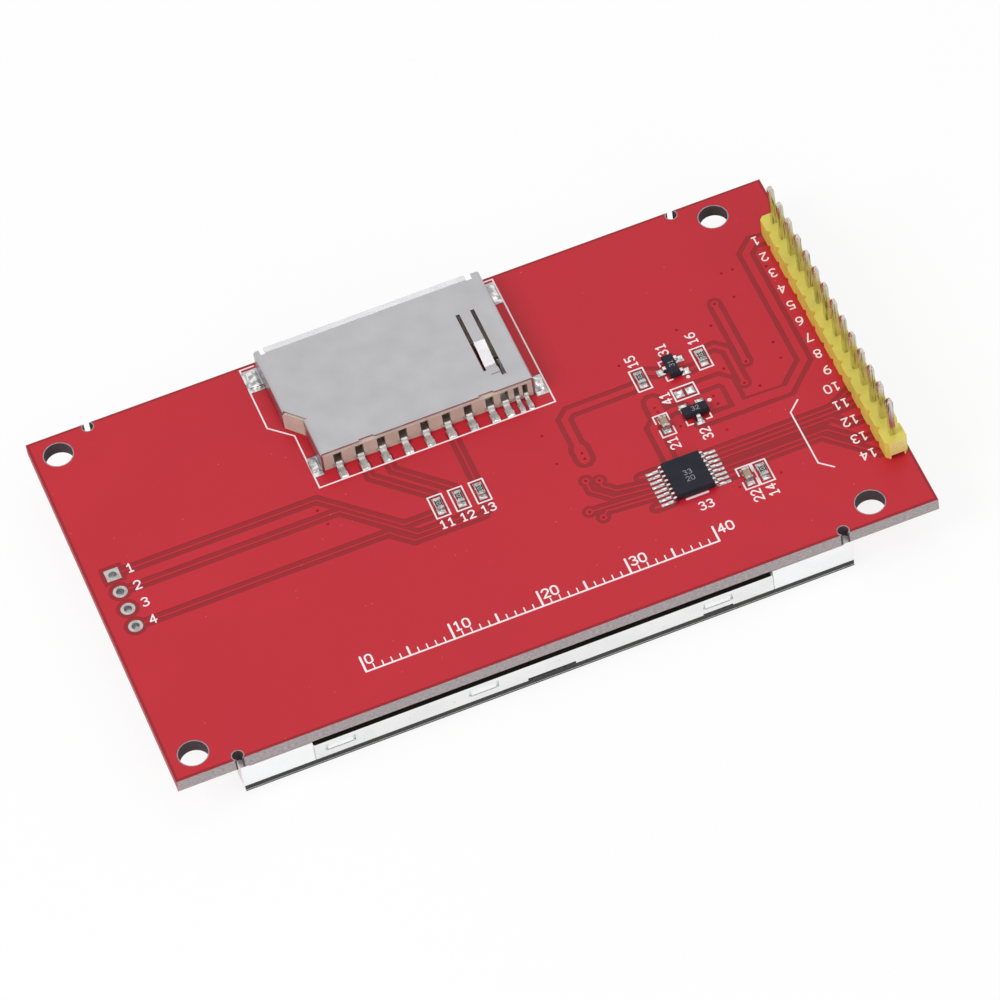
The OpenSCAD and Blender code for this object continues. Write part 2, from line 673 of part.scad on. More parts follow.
module leds() color("lightyellow") for (i = [0:lamp_count - 1])
    translate([0, (i - (lamp_count - 1) / 2) * lit_w / lamp_count, 0])
        block(light_x1 + 0.1, light_x1 + 1.1, -lamp_w / 2, lamp_w / 2, reflector_z - lamp_t, lamp_t);

// Ring of tape that holds the glass on the frame's shelf, round the rear polarizer
module rim_tape() color("black") difference() {
    block(glass_x0, glass_x1 - 0.2, -glass_half, glass_half, rim_z, polarizer_t);
    lit_block(polarizer_lap + 0.1, rim_z - cut, polarizer_t + 2 * cut);
}

// A layer that runs past the picture on all sides
module lit_block(lap, z, t)
    block(lit_x0 - lap, lit_x0 + lit_l + lap, -lit_w / 2 - lap, lit_w / 2 + lap, z, t);

module polarizer(z) lit_block(polarizer_lap, z, polarizer_t);
module glass_pane(x1, z) block(glass_x0, x1, -glass_half, glass_half, z, glass_t);

module rear_polarizer() color("darkslategray") polarizer(rim_z);
module transistor_glass() color("lightblue") glass_pane(glass_x1, tft_z);
module filter_glass() color("lightcyan") glass_pane(glass_x1 - contact_ledge, filter_z);
module front_polarizer() color("darkslategray") polarizer(frame_z);

// Driver bonded to the bare ledge of the rear glass
module driver_chip() color("gray")
    block(glass_x1 - contact_ledge + 1, glass_x1 - contact_ledge + 2.1, -9, 9, tft_z - 0.3, 0.3);

// A ribbon that leaves at height z, turns up round the end of the frame and comes back
// under the board
module ribbon(z, t, x_in, x_back, clear) {
    high = board_z - land_t - t / 2;
    r = (high - z - t / 2) / 2;
    x = screen_x1 + clear + r;
    polygon(sheet([[x_in, z + t / 2], [x, z + t / 2], [x, high], [x_back, high]], r * 0.98, t));
}

flex_t = 0.1;
flex_x = screen_x1 - 25;              // end of the ribbon, on the lands under the board
flex_tail = 16;

module display_flex() color("darkorange") intersection() {
    translate([0, -ribbon_w / 2, 0]) along_y(ribbon_w)
        ribbon(tft_z - flex_t, flex_t, glass_x1 - 1.7, flex_x, 0.2);
    translate([0, 0, frame_z - cut]) linear_extrude(board_z) polygon([
        [flex_x - cut, -flex_tail / 2], [back_x1 - 2, -flex_tail / 2], [back_x1 + 2, -ribbon_w / 2],
        [board_l, -ribbon_w / 2], [board_l, ribbon_w / 2], [back_x1 + 2, ribbon_w / 2],
        [back_x1 - 2, flex_tail / 2], [flex_x - cut, flex_tail / 2]]);
}

tail_w = 4.6;
tail_y = ribbon_w / 2 + 0.6 + tail_w / 2;   // middle of the touch panel's tail
tail_x = screen_x1 - 8;               // end of the tail, on its lands
tail_lap = 3;                         // how far the tail reaches into the touch panel

module touch_tail() color("darkorange") translate([0, -tail_y - tail_w / 2, 0]) along_y(tail_w)
    ribbon(film_t, spacer_t, screen_x1 - tail_lap, tail_x, 0.1);

module flex_lands() color("silver") {
    land_row(flex_x, 0, 18, 0.8, 0.45);
    land_row(tail_x, -tail_y, 4, 1, 0.6);
}

// Lands under the board for a ribbon that ends at x and is centred on y
module land_row(x, y, count, pitch, w) for (i = [0:count - 1])
    translate([x + 1.5, y + (i - (count - 1) / 2) * pitch, board_z - land_t]) slab(3, w, land_t);

/* Touch panel */

// A layer as large as the display, with each edge drawn in
module touch_block(left, right, side, z, t)
    block(screen_x0 + left, screen_x1 - right, side - screen_y, screen_y - side, z, t);
module touch_sheet(z, t) touch_block(touch_inset, touch_inset, touch_inset, z, t);
module touch_ring(left, right, side, z, t) difference() {
    touch_sheet(z, t);
    touch_block(left, right, side, z - cut, t + 2 * cut);
}

module touch_gasket() color("black") touch_ring(2.4, 7.2, 2.4, gasket_z, gasket_t);
module touch_glass() color("lightcyan") touch_sheet(glass_z, touch_glass_t);
module touch_spacer() color("white") difference() {
    touch_ring(1.8, 4, 1.8, film_t, spacer_t);
    // gap for the tail, which lies between the film and the glass
    translate([0, -tail_y, 0])
        block(screen_x1 - tail_lap - slack, screen_x1 + cut, -tail_w / 2 - slack, tail_w / 2 + slack,
              film_t - cut, spacer_t + 2 * cut);
}
module touch_film() color("azure") touch_sheet(0, film_t);

circuit_board();
header_barrels();
side_barrels();
solder_lands();
flex_lands();
header_housing();
header_pins();
header_solder();
socket_shell();
socket_housing();
socket_contacts();
socket_switch_springs();
socket_solder();
touch_controller_body();
touch_controller_leads();
regulator_body();
regulator_leads();
transistor_body();
transistor_leads();
resistor_ceramics();
resistor_ends();
resistor_coats();
capacitor_ceramics();
capacitor_ends();
chip_solder();
foam_tape();
display_back();
display_frame();
reflector();
light_guide();
led_strip();
leds();
diffuser();
lower_prism_sheet();
upper_prism_sheet();
rim_tape();
rear_polarizer();
transistor_glass();
filter_glass();
front_polarizer();
driver_chip();
display_flex();
touch_gasket();
touch_glass();
touch_spacer();
touch_film();
touch_tail();
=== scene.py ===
"""The look of a colour display module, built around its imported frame.

The module lies on its touch panel, with the component side of a red circuit board up: a
card socket at the far edge, a yellow pin header at the right, and a few small parts. Places
come from the frame's solids, in millimetres, and each piece turns them to metres once.
"""

import json
import logging
import math
from collections.abc import Iterable, Sequence
from dataclasses import dataclass, field, replace
from enum import Enum, IntFlag
from functools import cache, partialmethod, reduce

import bpy
import numpy as np
from mathutils import Matrix, Vector
from mathutils.geometry import delaunay_2d_cdt


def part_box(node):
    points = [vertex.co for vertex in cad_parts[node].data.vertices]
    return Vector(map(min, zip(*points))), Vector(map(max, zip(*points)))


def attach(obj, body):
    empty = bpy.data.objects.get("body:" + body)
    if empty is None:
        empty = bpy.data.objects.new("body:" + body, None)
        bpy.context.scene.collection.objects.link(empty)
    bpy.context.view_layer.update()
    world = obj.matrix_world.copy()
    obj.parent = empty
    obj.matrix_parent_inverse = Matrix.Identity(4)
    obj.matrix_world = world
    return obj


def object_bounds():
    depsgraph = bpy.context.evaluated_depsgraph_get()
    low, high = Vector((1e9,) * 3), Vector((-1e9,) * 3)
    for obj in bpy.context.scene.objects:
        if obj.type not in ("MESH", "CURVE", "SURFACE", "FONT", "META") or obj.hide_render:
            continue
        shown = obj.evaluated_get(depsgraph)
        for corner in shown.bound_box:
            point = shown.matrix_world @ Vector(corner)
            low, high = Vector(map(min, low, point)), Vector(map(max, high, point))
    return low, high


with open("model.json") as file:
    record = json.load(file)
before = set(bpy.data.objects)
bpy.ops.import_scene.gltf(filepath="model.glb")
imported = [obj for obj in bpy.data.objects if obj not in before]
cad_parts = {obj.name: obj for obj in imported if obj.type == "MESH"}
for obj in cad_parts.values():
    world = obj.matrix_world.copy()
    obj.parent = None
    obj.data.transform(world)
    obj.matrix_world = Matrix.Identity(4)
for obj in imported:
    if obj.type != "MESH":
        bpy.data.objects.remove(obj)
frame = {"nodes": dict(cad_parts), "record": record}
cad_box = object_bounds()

MM = 0.001
BODY = "root"
log = logging.getLogger("display_module")

Colour = tuple[float, float, float]
Point = Sequence[float]
Outline = np.ndarray
Outlines = list[np.ndarray]


# ---- reading the frame


@dataclass(frozen=True)
class Box:
    """The box round a solid, in millimetres."""

    lo: tuple[float, float, float]
    hi: tuple[float, float, float]

    @property
    def x(self) -> float:
        """Middle along X."""
        return (self.lo[0] + self.hi[0]) / 2

    @property
    def y(self) -> float:
        """Middle along Y."""
        return (self.lo[1] + self.hi[1]) / 2

    @property
    def size(self) -> tuple[float, float, float]:
        """Length along X, Y and Z."""
        return tuple(b - a for a, b in zip(self.lo, self.hi))

    def spot(self, along: float = 0.0, across: float = 0.0) -> tuple[float, float]:
        """The middle in plan, shifted along X and across along Y."""
        return self.x + along, self.y + across

    def outline(self, margin: float = 0.0) -> Outline:
        """The box in plan, larger by a margin all round."""
        return rectangle(self.lo[0] - margin, self.hi[0] + margin, self.lo[1] - margin, self.hi[1] + margin)


def node_box(name: str) -> Box:
    """The box round one CAD node, in millimetres."""
    lo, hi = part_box(name)
    return Box(tuple(v / MM for v in lo), tuple(v / MM for v in hi))


def solid_boxes(name: str) -> list[Box]:
    """The boxes round each solid of a CAD node.

    Corners in the same place are one point, and the lowest label of a triangle's corners
    spreads over its solid until nothing changes.

    Args:
        name: The CAD node.

    Returns:
        One box per solid, from left to right, and from far to near where they stand in a row.
    """
    mesh = frame["nodes"][name].data
    co = np.empty(len(mesh.vertices) * 3)
    mesh.vertices.foreach_get("co", co)
    corner = np.empty(len(mesh.loops), np.int64)
    mesh.loops.foreach_get("vertex_index", corner)
    co = co.reshape(-1, 3) / MM
    _, same = np.unique(np.round(co * 1000).astype(np.int64), axis=0, return_inverse=True)
    tri = same.reshape(-1)[corner].reshape(-1, 3)
    label = np.arange(tri.max() + 1)
    while True:
        before = label.copy()
        np.minimum.at(label, tri.ravel(), np.repeat(label[tri].min(axis=1), 3))
        label = label[label]
        if (label == before).all():
            break
    owner = label[same.reshape(-1)]
    parts = [co[owner == k] for k in np.unique(owner)]
    boxes = [Box(tuple(part.min(axis=0)), tuple(part.max(axis=0))) for part in parts]
    return sorted(boxes, key=lambda b: (round(b.x), -b.y))


# ---- shader expressions


class Signal:
    """An output socket with arithmetic: an expression on signals adds its Math nodes.

    Besides the usual operators, absolute drops the sign and either takes the larger of two.
    """

    def __init__(self, paint: "Paint", socket: bpy.types.NodeSocket | None) -> None:
        """Wraps one socket of a paint's tree."""
        self.paint = paint
        self.socket = socket

    def beside(self, output: int | str) -> "Signal":
        """Another output of the same node."""
        return Signal(self.paint, self.socket.node.outputs[output])

    def operate(self, operation: str, *others: "Signal | float") -> "Signal":
        """A Math node on this signal and others, in order."""
        return self.paint.node("ShaderNodeMath", {"operation": operation}, dict(enumerate((self, *others))))

    __add__ = __radd__ = partialmethod(operate, "ADD")
    __mul__ = __rmul__ = partialmethod(operate, "MULTIPLY")
    __sub__ = partialmethod(operate, "SUBTRACT")
    __pow__ = partialmethod(operate, "POWER")
    absolute = partialmethod(operate, "ABSOLUTE")
    either = partialmethod(operate, "MAXIMUM")

    def __rsub__(self, number: float) -> "Signal":
        """A number less this signal."""
        return self.paint.node("ShaderNodeMath", {"operation": "SUBTRACT"}, {0: number, 1: self})

    def between(self, low: float, high: float) -> "Signal":
        """Runs smoothly from 0 at low to 1 at high."""
        inputs = {"Value": self, "From Min": low, "From Max": high}
        return self.paint.node("ShaderNodeMapRange", {"interpolation_type": "SMOOTHSTEP"}, inputs)


class Paint:
    """The nodes of one material, or of the world."""

    def __init__(self, name: str, store: object = bpy.data.materials) -> None:
        """Starts an empty one.

        Args:
            name: What it is called.
            store: Blender's list that it goes into.
        """
        self.block = store.new(name)
        self.block.use_nodes = True
        self.tree = self.block.node_tree
        self.tree.nodes.clear()

    def node(
        self, kind: str, settings: dict | None = None, inputs: dict | None = None, output: int | str = 0
    ) -> Signal:
        """Adds a node.

        Args:
            kind: Blender's name for the node's type.
            settings: The node's own settings.
            inputs: A number, colour or signal for each named or numbered socket.
            output: The socket to return, which only an output node lacks.

        Returns:
            The chosen output.
        """
        made = self.tree.nodes.new(kind)
        for key, value in (settings or {}).items():
            setattr(made, key, value)
        for key, value in (inputs or {}).items():
            if isinstance(value, Signal):
                self.tree.links.new(value.socket, made.inputs[key])
            else:
                made.inputs[key].default_value = value
        return Signal(self, made.outputs[output] if made.outputs else None)

    def place(self, stretch: Point = (1, 1, 1)) -> Signal:
        """Object coordinates in millimetres, each times its stretch."""
        spot = self.node("ShaderNodeTexCoord", output="Object")
        return self.node("ShaderNodeMapping", None, {"Vector": spot, "Scale": tuple(s / MM for s in stretch)})

    def axes(self) -> tuple[Signal, Signal, Signal]:
        """Object coordinates in millimetres as three signals."""
        x = self.node("ShaderNodeSeparateXYZ", None, {0: self.place()})
        return x, x.beside("Y"), x.beside("Z")

    def noise(self, scale: float, detail: float = 2, stretch: Point = (1, 1, 1)) -> Signal:
        """Smooth noise with that many lumps in a millimetre."""
        inputs = {"Vector": self.place(stretch), "Scale": scale, "Detail": detail}
        return self.node("ShaderNodeTexNoise", None, inputs, "Fac")

    def cells(self, scale: float) -> Signal:
        """Distance to the nearest of scattered points, that many in a millimetre."""
        inputs = {"Vector": self.place(), "Scale": scale}
        return self.node("ShaderNodeTexVoronoi", None, inputs, "Distance")

    def mix(self, share: Signal, low: "Signal | Colour", high: "Signal | Colour") -> Signal:
        """Colour low where share is 0 and high where it is 1."""
        ends = [c if isinstance(c, Signal) else (*c, 1) for c in (low, high)]
        return self.node("ShaderNodeMix", {"data_type": "RGBA"}, {0: share, 6: ends[0], 7: ends[1]}, 2)

    def bump(self, height: Signal, depth: float) -> Signal:
        """A normal for a relief that is depth millimetres high."""
        return self.node("ShaderNodeBump", None, {"Height": height, "Distance": depth * MM}, "Normal")

    def surface(self, **sockets: object) -> bpy.types.Material:
        """Ends the material in a Principled shader.

        Args:
            sockets: Its sockets, with _ for a space.

        Returns:
            The finished material.
        """
        inputs = {key.replace("_", " "): value for key, value in sockets.items()}
        self.finish(self.node("ShaderNodeBsdfPrincipled", None, inputs))
        return self.block

    def finish(self, shader: Signal, kind: str = "ShaderNodeOutputMaterial") -> None:
        """Joins a shader to the output."""
        self.node(kind, None, {"Surface": shader})


def shade(colour: Colour, share: float) -> Colour:
    """A colour made lighter or darker by a share."""
    return tuple(min(1.0, c * share) for c in colour)


# ---- finishes


@dataclass(frozen=True)
class Finish:
    """What every finish has: its name, the record's slot it belongs to, its colour and its roughness."""

    name: str
    slot: str
    colour: Colour
    roughness: float = 0.4

    def paint(self) -> bpy.types.Material:
        """Builds the material."""
        raise NotImplementedError

    @cache
    def material(self) -> bpy.types.Material:
        """The material, built once."""
        return self.paint()


@dataclass(frozen=True)
class Moulded(Finish):
    """Moulded plastic, epoxy, ceramic or ink.

    Its colour drifts in clouds, its grain is so fine in lumps to the millimetre and so deep in
    millimetres, and pale specks, light that bleeds under the skin and a sawn end are as strong
    or as far out as their numbers.
    """

    drift: float = 0.06
    grain: float = 6.0
    depth: float = 0.006
    specks: float = 0.0
    bleed: float = 0.0
    shine: float = 0.5
    sawn: float = 0.0

    def paint(self) -> bpy.types.Material:
        """Clouds of colour, fine grain, rare pale specks, and torn ends where Y passes the sawn one.

        Returns:
            The material.
        """
        paint = Paint(self.name)
        cloud = paint.noise(self.grain / 12, 3)
        fine = paint.noise(self.grain, 3)
        low, high = shade(self.colour, 1 - self.drift), shade(self.colour, 1 + self.drift)
        colour = paint.mix(cloud.between(0.3, 0.7), low, high)
        if self.specks:
            dust = 1 - paint.cells(self.grain / 4).between(0.04, 0.09)
            colour = paint.mix(dust * self.specks, colour, shade(self.colour, 2.2))
        if self.sawn:
            end = (paint.axes()[1].absolute() - self.sawn).between(-0.06, -0.02)
            torn = paint.noise(9, 4, (1, 1, 0.6)) * end
            colour = paint.mix(torn.between(0.3, 0.75), colour, (0.92, 0.87, 0.46))
            fine = fine + torn * 4
        return paint.surface(
            Base_Color=colour,
            Roughness=self.roughness + (cloud - 0.5) * 0.12,
            Specular_IOR_Level=self.shine,
            Normal=paint.bump(fine, self.depth),
            Subsurface_Weight=self.bleed,
            Subsurface_Scale=0.4 * MM,
        )


@dataclass(frozen=True)
class SheetMetal(Finish):
    """Rolled sheet or drawn wire.

    Streaks run along the axis that they are stretched on, with dark lines of painted dark reflection as
    strong as their number, over plating that is cloudy and tarnished in spots.
    """

    streak: Point = (0.05, 1, 1)
    depth: float = 0.004
    cloud: float = 0.1
    # colour of the tarnished spots and of the painted dark reflection lines
    tarnish: Colour = (0.5, 0.48, 0.42)
    spots: float = 0.5
    # lines: how strong the painted dark reflection lines are
    lines: float = 0.0

    def paint(self) -> bpy.types.Material:
        """Streaks bend the reflection, clouds dull it, and tarnished spots and lines of painted dark
        reflection darken it.

        Returns:
            The material.
        """
        paint = Paint(self.name)
        streaks = paint.noise(9, 3, self.streak)
        clouds = paint.noise(0.35, 4)
        stain = paint.noise(1.3, 5).between(0.62, 0.82)
        colour = paint.mix(clouds, shade(self.colour, 1 - self.cloud), shade(self.colour, 1 + self.cloud))
        # stains are real tarnished spots; the streak lines are painted dark reflection
        dark = (stain * self.spots).either(streaks.between(0.5, 0.68) * self.lines)
        return paint.surface(
            Base_Color=paint.mix(dark, colour, self.tarnish),
            Metallic=1.0,
            Roughness=self.roughness + (clouds - 0.5) * 0.18 + (streaks - 0.5) * 0.1,
            Normal=paint.bump(streaks, self.depth),
        )


@dataclass(frozen=True)
class Tinned(Finish):
    """Solder and dipped tin: so many soft lumps to the millimetre, and dull grain as dark as its dirt."""

    lump: float = 1.6
    depth: float = 0.05
    dirt: float = 0.3

    def paint(self) -> bpy.types.Material:
        """Soft lumps, with dark flux and duller patches between them.

        Returns:
            The material.
        """
        paint = Paint(self.name)
        lumps = paint.noise(self.lump, 2)
        dull = paint.noise(self.lump * 1.7, 4).between(0.38, 0.66)
        return paint.surface(
            Base_Color=paint.mix(dull, self.colour, shade(self.colour, self.dirt)),
            Metallic=1.0,
            Roughness=self.roughness + dull * 0.22,
            Normal=paint.bump(lumps, self.depth),
        )


@dataclass(frozen=True)
class SolderMask(Finish):
    """Clear red lacquer over copper: even, glossy, with dust under it."""

    def paint(self) -> bpy.types.Material:
        """Broad clouds, a trace of orange peel, and rare specks of dust.

        Returns:
            The material.
        """
        paint = Paint(self.name)
        cloud = paint.noise(0.08, 3)
        peel = paint.noise(1.1, 2)
        dust = 1 - paint.cells(0.55).between(0.02, 0.05)
        colour = paint.mix(cloud, shade(self.colour, 0.94), shade(self.colour, 1.06))
        return paint.surface(
            Base_Color=paint.mix(dust * 0.4, colour, (0.75, 0.32, 0.3)),
            Specular_IOR_Level=0.3,
            Roughness=self.roughness + (peel - 0.5) * 0.08,
            Normal=paint.bump(peel, 0.004),
        )


@dataclass(frozen=True)
class FourHoles:
    """Four round holes at the corners of a rectangle whose middle is on the X axis."""

    x: float
    half_x: float
    half_y: float
    radius: float

    def reach(self, x: Signal, y: Signal) -> Signal:
        """1 within the radius of one of the four middles.

        Args:
            x: The place along X.
            y: The place along Y.

        Returns:
            1 there and 0 elsewhere, over a soft edge.
        """
        dx = (x - self.x).absolute() - self.half_x
        dy = y.absolute() - self.half_y
        gap = (dx * dx + dy * dy) ** 0.5
        return 1 - gap.between(self.radius - 0.02, self.radius + 0.02)

    def circles(self, steps: int) -> Outlines:
        """The four circles in plan."""
        middles = [(self.x + i * self.half_x, j * self.half_y) for i in (-1, 1) for j in (-1, 1)]
        return [disc(middle, self.radius, steps) for middle in middles]


@dataclass(frozen=True, kw_only=True)
class Laminate(Finish):
    """The bare board: lacquer on its two faces but not round its holes, and woven glass on its edges.

    The ends across X are milled, and lacquer is smeared over their glass. The walls of its holes take a
    near-black colour, painted shade.
    """

    fibre: Colour = (0.385, 0.335, 0.345)
    # the colour of the holes' walls: painted shade
    bore: Colour = (0.075, 0.05, 0.058)
    bottom: float
    top: float
    end: float
    holes: tuple[FourHoles, ...]

    def paint(self) -> bpy.types.Material:
        """Lacquer where the height is a face's, cut glass bundles in rows elsewhere, and painted shade on the
        walls of the holes.

        Returns:
            The material.
        """
        paint = Paint(self.name)
        x, y, z = paint.axes()
        middle, half = (self.bottom + self.top) / 2, (self.top - self.bottom) / 2
        face = (z - middle).absolute().between(half - 0.015, half - 0.005)
        within = reduce(Signal.either, [four.reach(x, y) for four in self.holes])
        # wall marks the walls of the holes, which get painted shade
        wall = (1 - face) * within
        face = face * (1 - within)
        bundle = paint.noise(2.6, 4, (1, 1, 2.2)).between(0.35, 0.65)
        thread = paint.noise(9, 3, (1, 1, 0.6)).between(0.5, 0.72)
        rough = paint.noise(14, 2)
        milled = (x.absolute() - self.end).between(-0.06, -0.02)
        cloud = paint.noise(0.3, 3)
        glass = paint.mix(bundle, shade(self.fibre, 0.78), shade(self.fibre, 1.14))
        glass = paint.mix(thread * 0.5, glass, shade(self.fibre, 1.5))
        glass = paint.mix(milled * 0.75, glass, shade(self.colour, 1.5))
        cut = paint.mix(wall, glass, self.bore)
        lacquer = paint.mix(cloud, shade(self.colour, 0.9), shade(self.colour, 1.1))
        return paint.surface(
            Base_Color=paint.mix(face, cut, lacquer),
            Specular_IOR_Level=0.3,
            Roughness=0.75 - face * (0.75 - self.roughness),
            Normal=paint.bump(rough * (1 - face), 0.04),
        )


@dataclass(frozen=True)
class Clear(Finish):
    """Glass and clear film with a faint haze."""

    index: float = 1.5

    def paint(self) -> bpy.types.Material:
        """Clear body with a haze that varies a little.

        Returns:
            The material.
        """
        paint = Paint(self.name)
        haze = paint.noise(0.2, 3)
        smear = paint.noise(0.05, 4, (1, 2.5, 1))
        return paint.surface(
            Base_Color=paint.mix(haze, shade(self.colour, 0.97), self.colour),
            Roughness=self.roughness + smear * 0.04,
            Transmission_Weight=1.0,
            IOR=self.index,
        )


@dataclass(frozen=True)
class Foam(Finish):
    """Closed-cell foam: pores and a dusty surface."""

    def paint(self) -> bpy.types.Material:
        """Round pores with painted shade inside.

        Returns:
            The material.
        """
        paint = Paint(self.name)
        pores = paint.cells(3.5).between(0.1, 0.5)
        return paint.surface(
            # the darker colour inside the pores is painted shade
            Base_Color=paint.mix(pores, shade(self.colour, 0.7), self.colour),
            Roughness=0.9 - pores * 0.1,
            Normal=paint.bump(pores, 0.08),
        )


MASK = SolderMask("mask_over_copper", "solder_mask", (0.53, 0.017, 0.031), 0.3)
INK = Moulded("white_ink", "solder_mask", (0.94, 0.85, 0.87), 0.5, drift=0.05, grain=9, depth=0.01)
BORE = Moulded(
    "via_bore", "solder_mask", (0.36, 0.01, 0.025), 0.5, drift=0.2, grain=8, depth=0.004, shine=0.1
)
TIN = Tinned("dipped_tin", "tinned_copper", (0.6, 0.595, 0.585), 0.26, lump=2.0, dirt=0.4)
PAD = Tinned("plated_pads", "tinned_copper", (0.54, 0.535, 0.53), 0.32, lump=0.9, depth=0.02, dirt=0.72)
LEAD = Tinned("tinned_leads", "tinned_copper", (0.88, 0.87, 0.86), 0.25, lump=1.2, depth=0.01, dirt=0.7)
SOLDER = Tinned("reflowed_solder", "solder", (0.82, 0.82, 0.81), 0.15, lump=1.1, depth=0.16, dirt=0.42)
THIN = Tinned("thin_solder", "solder", (0.68, 0.68, 0.67), 0.24, depth=0.03, dirt=0.55)
STEEL = SheetMetal("satin_shell_steel", "shell_steel", (0.475, 0.47, 0.485), 0.34, depth=0.003)
BACK = SheetMetal("bright_back_steel", "back_metal", (0.86, 0.865, 0.86), 0.26, depth=0.005)
SILICON = SheetMetal("bare_silicon", "silicon", (0.3, 0.3, 0.34), 0.14, streak=(1, 0.3, 1), depth=0.002)
# the springs' dark lines and dark tarnished colour are partly painted dark reflection
SPRING = SheetMetal(
    "tinned_bronze", "spring_metal", (0.78, 0.775, 0.76), 0.36,
    streak=(1, 1, 1), depth=0.03, cloud=0.2, tarnish=(0.14, 0.13, 0.12), spots=0.6, lines=0.45,
)
# the pins' dark lines and near-black tarnished colour are painted dark reflection along their edges
PIN = SheetMetal(
    "plated_pins", "pin_metal", (0.7, 0.66, 0.58), 0.2,
    streak=(1, 1, 0.05), depth=0.006, tarnish=(0.08, 0.065, 0.055), lines=0.8,
)
YELLOW = Moulded("header_yellow", "header_plastic", (0.71, 0.605, 0.1), drift=0.05, grain=5, bleed=0.15)
TAN = Moulded("insulator_tan", "insulator", (0.56, 0.47, 0.4), 0.5, drift=0.07, grain=5, depth=0.01)
EPOXY = Moulded(
    "black_epoxy", "chip_epoxy", (0.021, 0.021, 0.031), 0.5,
    drift=0.12, grain=7, depth=0.012, specks=0.05, shine=0.12,
)
MARK = Moulded("laser_mark", "chip_epoxy", (0.3, 0.3, 0.31), 0.6, drift=0.1, grain=9, depth=0.005)
ALUMINA = Moulded("alumina", "white_ceramic", (0.8, 0.8, 0.78), 0.35, drift=0.04, grain=8, depth=0.008)
GLAZE = Moulded("resistor_glaze", "resistor_coat", (0.02, 0.02, 0.022), 0.25, drift=0.1, grain=8)
CODE = Moulded("resistor_code", "resistor_coat", (0.62, 0.62, 0.6), 0.5, drift=0.1, grain=9, depth=0.005)
FIRED = Moulded("capacitor_body", "tan_ceramic", (0.4, 0.27, 0.18), 0.35, drift=0.12, grain=7, depth=0.01)
FOAM = Foam("foam_tape", "foam", (0.85, 0.85, 0.83))
WHITE = Moulded(
    "frame_white", "frame_plastic", (0.93, 0.94, 0.945), 0.32, drift=0.02, grain=3, depth=0.004, bleed=0.1
)
FILM = Moulded("matt_white_film", "white_film", (0.88, 0.88, 0.87), drift=0.02, grain=4, depth=0.004)
LAMP = Moulded("lamp_phosphor", "lamp", (0.9, 0.8, 0.3), 0.35, depth=0.01)
AMBER = Moulded("amber_flex", "flex_film", (0.5, 0.2, 0.03), 0.3, drift=0.08, grain=2, depth=0.004)
POLARIZER = Moulded(
    "polarizer_grey", "polarizer", (0.022, 0.025, 0.028), 0.16, drift=0.08, grain=1, depth=0.002
)
TAPE = Moulded("matt_black_tape", "black_tape", (0.016, 0.016, 0.017), 0.5, drift=0.1, grain=5)
ADHESIVE = Moulded(
    "printed_border", "white_adhesive", (0.62, 0.62, 0.6), 0.55, drift=0.05, grain=4, depth=0.005
)
PRISM = Clear("prism_film", "clear_film", (0.9, 0.92, 0.94), 0.25)
ACRYLIC = Clear("light_guide_acrylic", "clear_acrylic", (0.92, 0.95, 0.95), 0.08, 1.49)
GLASS = Clear("clear_panel_glass", "panel_glass", (0.86, 0.9, 0.89), 0.02, 1.52)
TOUCH = Clear("touch_film", "touch_surface", (0.9, 0.91, 0.9), 0.1, 1.45)


def dress(finish: Finish, *nodes: str) -> None:
    """Gives CAD nodes a finish, and reports each.

    Args:
        finish: The finish.
        nodes: The nodes that take it.
    """
    for name in nodes:
        slots = frame["nodes"][name].data.materials
        slots.clear()
        slots.append(finish.material())
        log.info("dressed %s in %s", name, finish.name)


# ---- meshes


@dataclass
class Shapes:
    """Meshes gathered into one piece, in millimetres."""

    points: list[np.ndarray] = field(default_factory=list)
    faces: list[np.ndarray] = field(default_factory=list)
    count: int = 0

    def add(self, points: np.ndarray, *faces: np.ndarray) -> None:
        """Adds a mesh.

        Args:
            points: Its corners.
            faces: Its faces, in blocks with as many corners each.
        """
        self.points.append(points)
        self.faces += [block + self.count for block in faces]
        self.count += len(points)

    def piece(self, name: str, finish: Finish, smooth: bool = False) -> None:
        """Makes the gathered meshes one Blender piece that rides on the body.

        Args:
            name: The piece's name.
            finish: Its finish.
            smooth: Whether the faces are shaded as one curved surface.
        """
        mesh = bpy.data.meshes.new(name)
        faces = [row for block in self.faces for row in block.tolist()]
        mesh.from_pydata(np.vstack(self.points) * MM, [], faces)
        mesh.polygons.foreach_set("use_smooth", np.full(len(faces), smooth))
        mesh.materials.append(finish.material())
        made = bpy.data.objects.new(name, mesh)
        bpy.context.scene.collection.objects.link(made)
        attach(made, BODY)
        log.info("built %s, %d faces", name, len(faces))


def ribbon(path: Iterable[Point], width: float, cap: int = 5) -> Outline:
    """The outline of a line of constant width with round ends.

    Each inner corner is moved out along the sum of its two normals, over one plus their
    product, which keeps the width through a bend.

    Args:
        path: The middle of the line.
        width: Its width.
        cap: Straight pieces in each round end.

    Returns:
        The outline, anticlockwise.
    """
    middle = np.array([tuple(p[:2]) for p in path], float)
    step = np.linalg.norm(np.diff(middle, axis=0), axis=1)
    middle = middle[np.r_[True, step > 1e-6]]
    along = np.diff(middle, axis=0)
    along /= np.linalg.norm(along, axis=1)[:, None]
    normal = np.c_[-along[:, 1], along[:, 0]]
    inner = (normal[:-1] + normal[1:]) / (1 + (normal[:-1] * normal[1:]).sum(axis=1))[:, None]
    side = np.vstack([normal[:1], inner, normal[-1:]]) * width / 2
    turn = (np.linspace(-0.5, 0.5, cap + 1)[1:-1] * math.pi)[:, None]
    cos, sin = np.cos(turn) * width / 2, np.sin(turn) * width / 2
    end = middle[-1] + cos * along[-1] + sin * normal[-1]
    start = middle[0] - cos * along[0] - sin * normal[0]
    return np.vstack([middle - side, end, (middle + side)[::-1], start])


